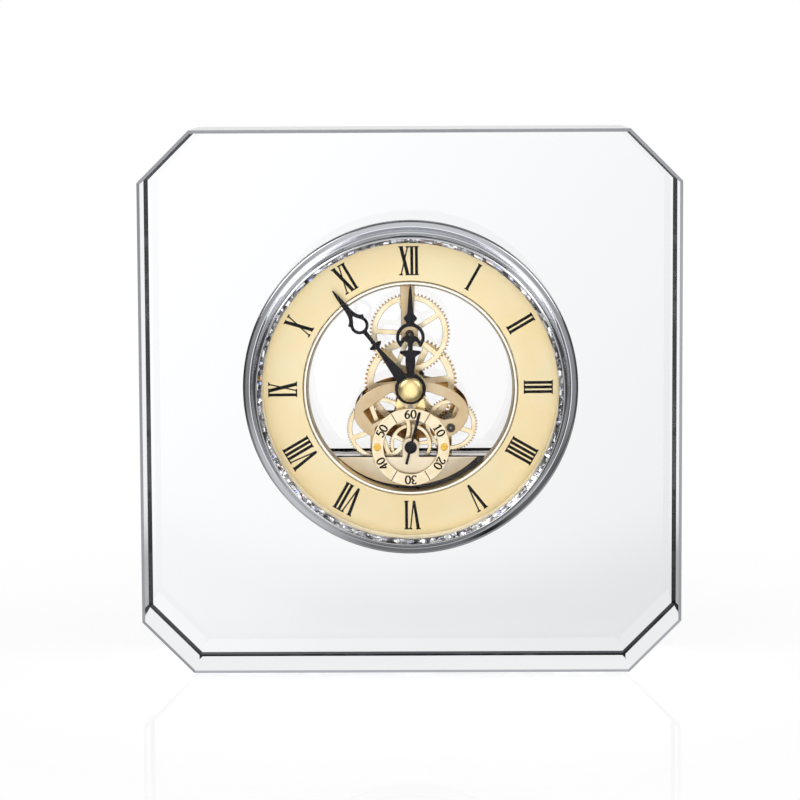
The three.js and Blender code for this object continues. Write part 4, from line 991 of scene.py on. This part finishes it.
def hourOutline():
    tail = [(1.2, 0), (1.14, 4.8)] + smoothed([(1.17, 5.2), (1.36, 6.6), (1.54, 8.3), (1.46, 9.7)], 3)
    bar = smoothed([(1.46, 9.7), (2.1, 10.25), (3.0, 10.85), (3.26, 11.2), (3.05, 11.65), (2.3, 11.78)], 3)
    arch = smoothed([(0.74, 11.95), (0.74, 13.5), (0.98, 14.2), (1.57, 14.5), (2.15, 14.15), (2.5, 13.5),
                     (2.92, 12.75)], 4)
    curl = smoothed([(2.98, 12.78), (3.5, 13.35), (3.95, 14.1)], 3)
    rim = arc(4.4, 104, 18, 16, (0, 15.85))
    knob = smoothed([(1.18, 20.2), (1.3, 20.6), (1.9, 21.2), (1.96, 21.9), (1.3, 22.7), (0.9, 23.3)], 4)
    spire = [(0.8, 24.9), (0.62, 27.5), (0.44, 29.9), (0.26, 31.2), (0.1, 31.6)]
    return mirrored(tail + bar + arch + curl + rim + knob + spire)


def hourOpening():
    lobes = smoothed([(0.0, 15.6), (0.5, 16.0), (1.2, 16.25), (2.0, 16.0), (2.6, 15.25), (3.1, 14.75)], 4)
    rim = arc(3.4, 103, 4, 14, (0, 15.75))
    return mirrored(lobes[1:] + rim)


def minuteOutline():
    body = [(1.7, 0), (1.75, 4.5)] + smoothed([(1.72, 5.4), (1.45, 7.7), (0.98, 11.8), (0.52, 15.8)], 3)
    barb = smoothed([(0.52, 15.8), (0.9, 16.2), (1.6, 16.55), (2.1, 17.1), (2.0, 17.5), (1.3, 17.65),
                     (0.6, 17.9)], 4)
    neck = [(0.6, 18.5), (0.62, 20.5), (0.68, 22.0)]
    rim = arc(2.8, 163, 62, 14, (0, 25.05))
    thorn = smoothed([(2.62, 26.2), (2.9, 26.85), (2.85, 27.1), (2.2, 27.45), (1.6, 28.2), (1.15, 29.4),
                      (0.88, 31.0)], 4)
    tip = [(0.8, 32.6), (0.62, 34.9), (0.42, 36.9), (0.24, 38.0), (0.1, 38.4)]
    return mirrored(body + barb + neck + rim + thorn + tip)


def minuteOpening():
    drop = arc(1.84, 176, 58, 14, (0, 25.05))
    drop += smoothed([(1.5, 26.2), (0.85, 27.1), (0.35, 27.9), (0.06, 28.4)], 4)
    return mirrored(drop)


def secondsOutline():
    return mirrored([(0.44, -5.4), (0.36, -2.5), (0.32, 0), (0.36, 3.5), (0.46, 9.2), (0.42, 10.7),
                     (0.25, 11.1)])


def addHands():
    h = hands
    common = {"edge": h["edge"], "steps": 3, "dome": h["crown"], "reach": h["crownReach"],
              "grid": h["crownGrid"], "backEdge": h["backEdge"]}
    hour = flatMesh("hourHand", [hourOutline(), circle(h["hourHub"], 72)], h["hourFront"],
                    h["thickness"], [hourOpening(), circle(h["hourBore"], 40)], **common)
    addPiece("hourHand", hour, lacquer, "hour", ["hour_hand"], turn=h["hourTurn"])
    minute = flatMesh("minuteHand", [minuteOutline(), circle(h["minuteHub"], 72)], h["minuteFront"],
                      h["thickness"], [minuteOpening(), circle(h["minuteBore"], 32)], **common)
    addPiece("minuteHand", minute, lacquer, "minute", ["minute_hand"], turn=h["minuteTurn"])
    blade = flatMesh("blade", [secondsOutline()], h["secondsFront"], h["secondsThickness"], edge=0.1,
                     steps=2)
    boss = turnedMesh("boss", rounded(h["bossSection"], 0.12), 56)
    addPiece("secondsHand", joinedMesh("secondsHand", [blade, boss]), lacquer, "seconds",
             ["seconds_hand"], at=axes["seconds"], turn=h["secondsTurn"])


nut = {"radius": 3.8, "back": -5.9, "height": 2.5, "seat": 1.0, "seatDepth": 1.25, "ease": 0.1,
       "skirt": 1.0, "shoulder": (0.12, 1.45), "domeFoot": 1.55, "domeShare": 0.955, "domeRings": 12,
       "ridges": 44, "ridge": 0.1}


def addNut():
    # a domed cap with fine coin-edge ridges round its skirt
    n = nut
    y, r, foot, count = n["back"], n["radius"], n["domeFoot"], n["domeRings"]
    inward, lift = n["shoulder"]
    skirt = [(n["seat"], y), (r - n["ease"], y), (r, y - n["ease"]), (r, y - n["skirt"]),
             (r - inward, y - lift)]
    dome = [(n["domeShare"] * r * (1 - (i / count) ** 1.6),
             y - foot - (n["height"] - foot) * (1 - (1 - i / count) ** 2)) for i in range(count)]
    profile = [(0, y - n["seatDepth"]), (n["seat"], y - n["seatDepth"])] + skirt + dome
    profile += [(0, y - n["height"])]

    def ridges(i, k):
        return (-n["ridge"] if k % 4 < 2 and 3 <= i <= 5 else 0), 0

    mesh = turnedMesh("handNut", profile, 4 * n["ridges"], angle=40, wobble=ridges)
    addPiece("handNut", mesh, brass, "minute", ["hand_nut"])


addHands()
addNut()
print("hands ready")


# the going train: wheels with fine teeth, thin rims and spokes, set in step with the solids' teeth

wheelThickness = 0.8
# each wheel's toothShade is painted shade on its teeth
train = {
    "centre": {"teeth": 64, "module": 0.44, "front": 14.5, "spokes": 6, "spoke": 1.0, "rim": 2.0,
               "hub": 3.4, "bore": 1.9, "spokeTurn": 24, "toothShade": "#c08f3c"},
    "upper": {"teeth": 64, "module": 0.38, "front": 6.0, "spokes": 5, "spoke": 0.75, "rim": 1.5,
              "hub": 2.3, "bore": 0.65, "spokeTurn": 57, "toothShade": "#b99562"},
    "right": {"teeth": 54, "module": 0.3, "front": 9.0, "spokes": 4, "spoke": 0.75, "rim": 1.2,
              "hub": 2.0, "bore": 0.65, "spokeTurn": 20, "toothShade": "#b89a6c"},
    "third": {"teeth": 75, "module": 0.265, "front": 4.4, "spokes": 4, "spoke": 0.75, "rim": 1.2,
              "hub": 2.0, "bore": 0.65, "spokeTurn": 70, "toothShade": "#b89a6c"},
    "seconds": {"teeth": 60, "module": 0.22, "front": 6.0, "spokes": 5, "spoke": 0.6, "rim": 1.0,
                "hub": 1.7, "bore": 0.65, "spokeTurn": 10, "toothShade": "#a87c48"},
}


def meshPhase(leader, leaderTeeth, leaderPhase, follower, followerTeeth):
    # the follower's turn that puts a gap of it opposite the leader's tooth
    bearing = math.degrees(math.atan2(follower[0] - leader[0], follower[1] - leader[1]))
    return bearing + 180 + 180 / followerTeeth + (bearing - leaderPhase) * leaderTeeth / followerTeeth


# each wheel's turn at rest, from the pinion on its arbor that its leader's teeth drive
phases = {"centre": 0}
for name, leader, leaves in (("upper", "centre", 10), ("right", "centre", 16), ("third", "centre", 10),
                             ("seconds", "third", 8)):
    phases[name] = meshPhase(axes[leader], train[leader]["teeth"], phases[leader], axes[name], leaves)


def rootRadius(teeth, module):
    return module * (teeth / 2 - 1.25)


def toothLoop(teeth, module):
    # root, flank and tip of each tooth, as shares of the pitch either side of its middle
    tip, pitch, root = module * (teeth / 2 + 0.85), module * teeth / 2, rootRadius(teeth, module)
    step = 360 / teeth
    side = [(-0.36, root), (-0.27, (root + pitch) / 2), (-0.2, pitch), (-0.07, tip)]
    whole = side + [(-share, radius) for share, radius in reversed(side)]
    return [polar(radius, step * (i + share)) for i in range(teeth) for share, radius in whole]


def spokeHoles(inner, outer, spokes, half, turn):
    # windows between the spokes, with rounded corners
    holes = []
    for i in range(spokes):
        start, end = turn + 360 / spokes * i, turn + 360 / spokes * (i + 1)
        aside = [math.degrees(math.asin(min(half / r, 0.9))) for r in (outer, inner)]
        rim = arc(outer, start + aside[0], end - aside[0], 10)
        hub = arc(inner, end - aside[1], start + aside[1], 5)
        holes.append(rounded(rim + hub, 0.35, 2))
    return holes


def addWheels():
    for name, w in train.items():
        root = rootRadius(w["teeth"], w["module"])
        holes = spokeHoles(w["hub"], root - w["rim"], w["spokes"], w["spoke"],
                           w["spokeTurn"] - phases[name])
        holes.append(circle(w["bore"], 24))
        mesh = flatMesh(name + "Wheel", [toothLoop(w["teeth"], w["module"])], w["front"], wheelThickness,
                        holes, edge=0.12, steps=2)
        finish = giltWheel(name + "GiltWheel", root, w["toothShade"])
        addPiece(name + "Wheel", mesh, finish, name, [name + "_wheel"], at=axes[name],
                 turn=phases[name])


addWheels()
print("wheels ready")


# plates of the movement

plates = {"middle": (0.2, -7.9), "halfWidth": 17.6, "halfHeight": 10, "thickness": 1, "edge": 0.14,
          "armWidth": 2.4, "armReach": 10.3, "armTop": -13.9, "armFoot": 1.6, "lug": 2.6,
          "centreHole": 1.9, "secondsHole": 8.9, "screwHole": 0.6, "pinHole": (0, -6),
          "jewelHole": 1.34, "pivotHole": 0.36, "jewel": 1.24,
          "segmentTop": -21.6, "segmentRadius": 44.7, "segmentFront": 1, "segmentThickness": 0.55,
          "shownRadius": 30.4, "shownMiddle": -1.0, "rimInner": 31.9, "shadeSheetFront": 1.57,
          "shadeSheetThickness": 0.23, "bridgeFront": 1, "bridgeThickness": 1.2, "bridgeOffset": -0.85,
          "bridgeWidth": 4.4, "bridgeNeck": 0.85, "bridgeShoulder": 31.5, "bridgeReach": 36,
          "bridgeHead": 2.6}
leftWindow = [(-14.6, -7.4), (-5.6, -1.2), (-1.2, -6.9), (-4.6, -7.5), (-8.4, -9.6), (-11.8, -11.4)]
rightWindow = [(4.8, -1.1), (10.1, -2.9), (14.8, -6.6), (13.7, -9.4), (9.8, -10.1), (4.8, -7.5),
               (1.2, -6.9)]


def ellipse(steps):
    (x, z), a, b = plates["middle"], plates["halfWidth"], plates["halfHeight"]
    return [(x + a * px, z + b * pz) for px, pz in (polar(1, 360 * i / steps) for i in range(steps))]


def bridgeSides():
    return [plates["bridgeOffset"] + side * plates["bridgeWidth"] / 2 for side in (1, -1)]


def bridgeAreas(end):
    # an eye over the upper arbor, and a bar from it that widens to the points of its outer end
    p, eye = plates, axes["upper"]
    right, left = bridgeSides()
    neck = rectangle(p["bridgeOffset"], p["bridgeWidth"] / 2 * p["bridgeNeck"], eye[1], eye[1])[:2]
    return [[*neck, (right, p["bridgeShoulder"]), *end, (left, p["bridgeShoulder"])],
            circle(p["bridgeHead"], 48, eye)]


def segmentArc(radius, middle=0):
    # the part of a circle that lies below the segment plate's top edge
    turn = math.degrees(math.acos(plates["segmentTop"] / radius))
    return arc(radius, turn, 360 - turn, 90, (middle, 0))


def addPlates():
    p, seconds = plates, axes["seconds"]
    arms = [rectangle(side * p["armReach"], p["armWidth"] / 2, p["segmentTop"] - p["armFoot"], p["armTop"])
            for side in (-1, 1)]
    holes = [rounded(leftWindow, 0.5), rounded(rightWindow, 0.5), circle(p["centreHole"], 32),
             circle(p["secondsHole"], 72, seconds), circle(p["jewelHole"], 32, axes["right"]),
             circle(p["jewelHole"], 32, axes["third"]), circle(p["screwHole"], 16, p["pinHole"])]
    holes += [circle(p["screwHole"], 16, (side * p["armReach"], seconds[1])) for side in (-1, 1)]
    front = flatMesh("frontPlate", [ellipse(120), *arms], 0, p["thickness"], holes, edge=p["edge"], steps=2)
    addPiece("frontPlate", front, champagne, "clock", ["front_plate"])
    end = [(side, p["bridgeReach"]) for side in bridgeSides()]
    bridge = flatMesh("upperBridge", bridgeAreas(end), p["bridgeFront"], p["bridgeThickness"],
                      [circle(p["jewelHole"], 32, axes["upper"])], edge=0.12, steps=2)
    addPiece("upperBridge", bridge, champagne, "clock", ["upper_bridge"])
    # a black sheet under the plate's round edge, where it goes under the dial's trim, is painted shade
    shown = [segmentArc(p["shownRadius"], p["shownMiddle"]), circle(p["lug"], 40, seconds),
             rectangle(0, p["lug"], p["segmentTop"] - 1, seconds[1])]
    whole = segmentArc(p["segmentRadius"])
    front, thickness, floor = p["segmentFront"], p["segmentThickness"], p["shadeSheetFront"]
    plate = joinedMesh("segmentPlate", [
        flatMesh("shown", shown, front, thickness, [circle(p["pivotHole"], 16, seconds)], edge=0.12,
                 steps=2),
        flatMesh("rim", [whole + segmentArc(p["rimInner"])[::-1]], front, thickness, edge=0.1),
        flatMesh("floor", [whole], floor, p["shadeSheetThickness"], edge=0),
    ])
    # the black sheet's faces take the black: a painted shade
    for face in plate.polygons:
        if face.center.y / mm > floor - 0.01:
            face.material_index = 1
    addPiece("segmentPlate", plate, [litChampagne, blackAbs], "clock", ["segment_plate"])
    r, bore = p["jewel"], p["pivotHole"]
    for side, where, front, back in (("Upper", "upper", 0.8, 2.2), ("Right", "right", -0.2, 1),
                                     ("Left", "third", 0.1, 1)):
        # a turned bushing with an oil cup round its bore
        profile = rounded([(bore, back), (r, back), (r, front + 0.12), (r - 0.12, front), (r * 0.72, front),
                           (r * 0.66, front + 0.18), (r * 0.52, front + 0.2), (r * 0.46, front + 0.02),
                           (bore, front + 0.05)], 0.05)
        piece = "bushing" + side
        addPiece(piece, turnedMesh(piece, profile, 48), bushing, "clock", ["jewel_" + side.lower()],
                 at=axes[where])


addPlates()
print("plates ready")


# seconds ring with its numbers

subdial = {"outer": 12, "inner": 8.4, "front": -0.6, "thickness": 0.6, "digitHeight": 2.65,
           "digitFoot": 8.85, "textStart": -0.68, "digitStep": 0.72, "thick": 0.56, "thin": 0.32,
           "mark": (0.13, 8.5, 11.9), "inkHeight": 0.02, "screwReach": 10.3, "screwHole": 0.6,
           "screwHead": 1.0, "headHeight": 0.5, "slotFloor": 0.15, "screwSlot": 0.32, "slotTurn": 20,
           "shank": (0.5, 0.9)}
digitPaths = {
    "0": [[(0.3 + 0.27 * math.sin(t / 8 * math.pi), 0.5 + 0.47 * math.cos(t / 8 * math.pi))
           for t in range(17)]],
    "1": [[(0.3, 0.98), (0.3, 0.02)], [(0.3, 0.98), (0.12, 0.82)], [(0.1, 0.02), (0.5, 0.02)]],
    "2": [[(0.06, 0.74), (0.12, 0.92), (0.3, 0.98), (0.48, 0.9), (0.52, 0.72), (0.42, 0.5), (0.2, 0.24),
           (0.06, 0.04)], [(0.06, 0.04), (0.54, 0.04)], [(0.54, 0.04), (0.56, 0.18)]],
    "3": [[(0.08, 0.82), (0.16, 0.95), (0.32, 0.97), (0.47, 0.88), (0.47, 0.68), (0.3, 0.55)],
          [(0.3, 0.55), (0.48, 0.46), (0.54, 0.26), (0.42, 0.06), (0.2, 0.03), (0.06, 0.14)]],
    "4": [[(0.42, 0.02), (0.42, 0.98)], [(0.42, 0.98), (0.04, 0.3)], [(0.04, 0.3), (0.58, 0.3)]],
    "5": [[(0.14, 0.95), (0.52, 0.95)], [(0.14, 0.95), (0.1, 0.55)],
          [(0.1, 0.55), (0.3, 0.62), (0.5, 0.5), (0.54, 0.28), (0.4, 0.06), (0.18, 0.03), (0.04, 0.14)]],
    "6": [[(0.48, 0.95), (0.26, 0.82), (0.1, 0.56), (0.06, 0.3), (0.16, 0.08), (0.3, 0.02), (0.46, 0.1),
           (0.54, 0.3), (0.44, 0.5), (0.3, 0.55), (0.14, 0.45), (0.08, 0.3)]],
}


def penStroke(path, height, thick, thin):
    # a broad pen: strokes up and down come out thick, those across thin
    points = [(x * height, z * height) for x, z in path]
    if len(path) > 2:
        points = smoothed(points, 3)
    areas = []
    for a, b in zip(points, points[1:]):
        along = Vector(b) - Vector(a)
        if along.length < 1e-6:
            continue
        half = (thin + (thick - thin) * abs(along.y) / along.length) / 2
        aside = Vector((along.y, -along.x)).normalized() * half
        ahead = along.normalized() * half * 0.25
        a, b = Vector(a) - ahead, Vector(b) + ahead
        areas.append([tuple(a + aside), tuple(b + aside), tuple(b - aside), tuple(a - aside)])
    return areas


def slottedHead(radius, slot, turn, steps, clear):
    # a screw head's two halves, one each side of its slot
    half = [(x + slot / 2, z) for x, z in arc(radius, clear, 180 - clear, steps)]
    return [turned2d(half, turn + side) for side in (90, 270)]


def addSubdial():
    s = subdial
    drop = axes["seconds"]
    holes = [circle(s["inner"], 96)]
    holes += [circle(s["screwHole"], 16, (side * s["screwReach"], 0)) for side in (-1, 1)]
    ringMesh = flatMesh("subdialRing", [circle(s["outer"], 128)], s["front"], s["thickness"], holes,
                        edge=0.1, steps=2)
    addPiece("subdialRing", ringMesh, gilt, "clock", ["subdial_ring"], at=drop)
    areas = []
    for number in (60, 10, 20, 30, 40, 50):
        x = s["textStart"] * s["digitHeight"]
        for digit in str(number):
            for path in digitPaths[digit]:
                for area in penStroke(path, s["digitHeight"], s["thick"], s["thin"]):
                    areas.append(turned2d([(x + px, s["digitFoot"] + pz) for px, pz in area], 6 * number))
            x += s["digitStep"] * s["digitHeight"]
    areas += [turned2d(rectangle(0, *s["mark"]), 6 * seconds) for seconds in (5, 25, 35, 55)]
    # the ink stands as far above the ring as it reaches into it
    inkMesh = flatMesh("secondsNumbers", areas, s["front"] - s["inkHeight"], 2 * s["inkHeight"], edge=0)
    addPiece("secondsNumbers", inkMesh, ink, "clock", at=drop)
    front, slot, height, floor = s["front"], s["screwSlot"], s["headHeight"], s["slotFloor"]
    radius, back = s["shank"]
    reach = s["screwHead"] + slot / 2
    for side, hand in ((-1, "Left"), (1, "Right")):
        # cheese head on its shank
        halves = slottedHead(s["screwHead"], slot, s["slotTurn"] * side, 20, 3)
        head = flatMesh("head", halves, front - height, height - floor, edge=0.1, steps=2)
        shank = turnedMesh("shank", [(0, back), (radius, back), (radius, front), (reach, front),
                                     (reach, front - floor), (0, front - floor)], 40)
        piece = "ringScrew" + hand
        addPiece(piece, joinedMesh(piece, [head, shank]), yellowBrass, "clock",
                 ["subdial_screw_" + hand.lower()], at=(side * s["screwReach"], drop[1]))


addSubdial()
print("seconds ring ready")


# rear: cover, door, screws, knob, rear plate and bridge, battery

rear = {"coverRadius": 46, "coverFront": 24, "coverBack": 25.2, "opening": (23.4, -36.65, -25.95),
        "door": (23.1, -36.35, -26.25), "tab": (5, -34.35, -33.15, 27), "ribs": 7, "ribStep": 1.5,
        "ribHalf": 0.35, "ribSpan": (-32.45, -28.95), "ribLift": 0.45, "sunk": 0.2,
        "spindleHole": 1.6, "screwHole": 0.95, "screwReach": 43.3,
        "screwTurns": {"top": 0, "right": 80, "left": -80}, "screwHead": 1.7, "screwShank": 0.8,
        "screwSlot": 0.4, "screwFront": 22, "screwBack": 26, "slotDepth": 0.44, "knobRidges": 30,
        "knobSection": [(0, 29.75), (1.0, 29.75), (1.0, 26), (2.3, 26), (2.47, 26.15), (2.47, 27),
                        (4.1, 27), (4.5, 27.3), (4.5, 30.3), (4.25, 30.7), (3.7, 30.95), (3.3, 31),
                        (1.9, 31), (1.6, 30.7), (0, 30.65)],
        "plateFront": 17.5, "plateWindow": [(4.4, -3), (13, -5), (12, -9), (5.2, -9)], "arborHole": 0.96,
        "bridgeFront": 17.3, "bridgeReach": 44.9}


def slab(half, low, high):
    return rounded(rectangle(0, half, low, high), 0.5)


def addRearCover():
    # a clear moulded lid with three round-headed screws, its battery door and the setting knob
    r = rear
    front, back = r["coverFront"], r["coverBack"]
    places = {name: polar(r["screwReach"], turn) for name, turn in r["screwTurns"].items()}
    holes = [slab(*r["opening"]), circle(r["spindleHole"], 40)]
    holes += [circle(r["screwHole"], 20, place) for place in places.values()]
    cover = flatMesh("rearCover", [circle(r["coverRadius"], 160)], front, back - front, holes, edge=0.25,
                     steps=2)
    addPiece("rearCover", cover, clearCase, "clock", ["back_cover"])
    head, slot, floor = r["screwHead"], r["screwSlot"], back + r["slotDepth"]
    for name, place in places.items():
        halves = slottedHead(head - slot / 2, slot, 0, 18, 2)
        crown = flatMesh("crown", halves, floor, r["screwBack"] - floor, edge=0.16, steps=2)
        shank = turnedMesh("shank", [(0, r["screwFront"]), (r["screwShank"], r["screwFront"]),
                                     (r["screwShank"], back), (head - 0.12, back), (head, back + 0.12),
                                     (head, floor + 0.01), (0, floor + 0.01)], 40)
        addPiece("coverScrew" + name.title(), joinedMesh(name, [crown, shank]), steel, "clock",
                 ["cover_screw_" + name], at=place)
    half, low, high, tabBack = r["tab"]
    foot, top = r["ribSpan"]
    meshes = [flatMesh("panel", [slab(*r["door"])], front, back - front, edge=0.2, steps=2),
              boxMesh("tab", (-half, back - r["sunk"], low), (half, tabBack, high), 0.4)]
    for i in range(r["ribs"]):
        x = (i - (r["ribs"] - 1) / 2) * r["ribStep"]
        meshes.append(boxMesh("rib", (x - r["ribHalf"], back - r["sunk"], foot),
                              (x + r["ribHalf"], back + r["ribLift"], top), 0.2))
    addPiece("batteryDoor", joinedMesh("batteryDoor", meshes), blackAbs, "door", ["battery_door"])

    def ridges(i, k):
        return (-0.3 if k % 4 < 2 and 6 <= i <= 9 else 0), 0

    knob = turnedMesh("settingKnob", r["knobSection"], 4 * r["knobRidges"], angle=35, wobble=ridges)
    addPiece("settingKnob", knob, blackAbs, "minute", ["setting_knob"])


def addRearPlates():
    p, r, seconds = plates, rear, axes["seconds"]
    middle = p["middle"][1]
    areas = [ellipse(120)]
    areas += [rectangle(side * p["armReach"], p["armWidth"], p["segmentTop"], middle) for side in (-1, 1)]
    areas += [circle(p["lug"], 40, seconds), rectangle(0, p["lug"], seconds[1], middle)]
    holes = [circle(p["pivotHole"], 16, axes[name]) for name in ("right", "third", "seconds")]
    holes += [circle(r["arborHole"], 24)]
    holes += [rounded([(side * x, z) for x, z in r["plateWindow"]], 0.6) for side in (-1, 1)]
    mesh = flatMesh("rearPlate", areas, r["plateFront"], p["thickness"], holes, edge=p["edge"], steps=2)
    addPiece("rearPlate", mesh, shadedBrass, "clock", ["rear_plate"])
    reach = r["bridgeReach"]
    ends = [math.degrees(math.asin(side / reach)) for side in bridgeSides()]
    mesh = flatMesh("rearBridge", bridgeAreas(arc(reach, *ends, 6)), r["bridgeFront"], p["bridgeThickness"],
                    [circle(p["pivotHole"], 16, axes["upper"])], edge=0.12, steps=2)
    addPiece("rearBridge", mesh, gilt, "clock", ["rear_bridge"])


cell = {"middle": (0, 18.15, -31.3), "sleeveFrom": 4.6, "section": [
    (0, -22.25), (3.7, -22.25), (4.0, -22.1), (4.7, -22.1), (5.25, -21.65), (5.25, 20.75), (4.8, 21.25),
    (2.3, 21.25), (1.9, 21.4), (1.9, 22.05), (1.7, 22.25), (0, 22.25)]}


def addCell():
    # a plain AAA cell in a grey sleeve that is shrunk over its ends
    mesh = turnedMesh("plainCell", rounded(cell["section"], 0.15, closed=False), 64)
    for face in mesh.polygons:
        middle = face.center / mm
        if math.hypot(middle.x, middle.z) > cell["sleeveFrom"]:
            face.material_index = 1
    mesh.transform(Matrix.Translation(Vector(cell["middle"]) * mm)
                   @ Matrix.Rotation(math.radians(-90), 4, "Z"))
    addPiece("plainCell", mesh, [cellShell, greyPlastic], "clock", ["battery"])


addRearCover()
addRearPlates()
addCell()
print("rear ready")


# carried-over nodes and their finishes

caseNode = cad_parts["movement_case"]
caseEnds = [(caseNode.matrix_world.inverted() @ Vector((0, corner[1], 0))).y
            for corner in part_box("movement_case")]
carried = {
    "mounting_ring": blackAbs, "case_sleeve": clearCase, "grip_ring": rubber, "plate_pillar": shadedBrass,
    "seconds_arbor": steel, "third_arbor": steel, "upper_arbor": steel, "right_arbor": steel,
    "minute_arbor": steel, "centre_hub": steel, "clutch_spring": steel, "hour_wheel": brass,
    "minute_wheel": brass, "minute_stud": steel, "step_wheel": greyPlastic, "rotor_pinion": greyPlastic,
    "rotor_magnet": sheetSteel, "stator": sheetSteel, "coil": wire, "circuit_board": board,
    "quartz_can": cellShell, "contact_positive": cellShell, "contact_negative": cellShell,
    "movement_case": glossyCase(*caseEnds),
}
for name, material in carried.items():
    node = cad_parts[name]
    node.data.materials.clear()
    node.data.materials.append(material)
print("carried nodes finished")
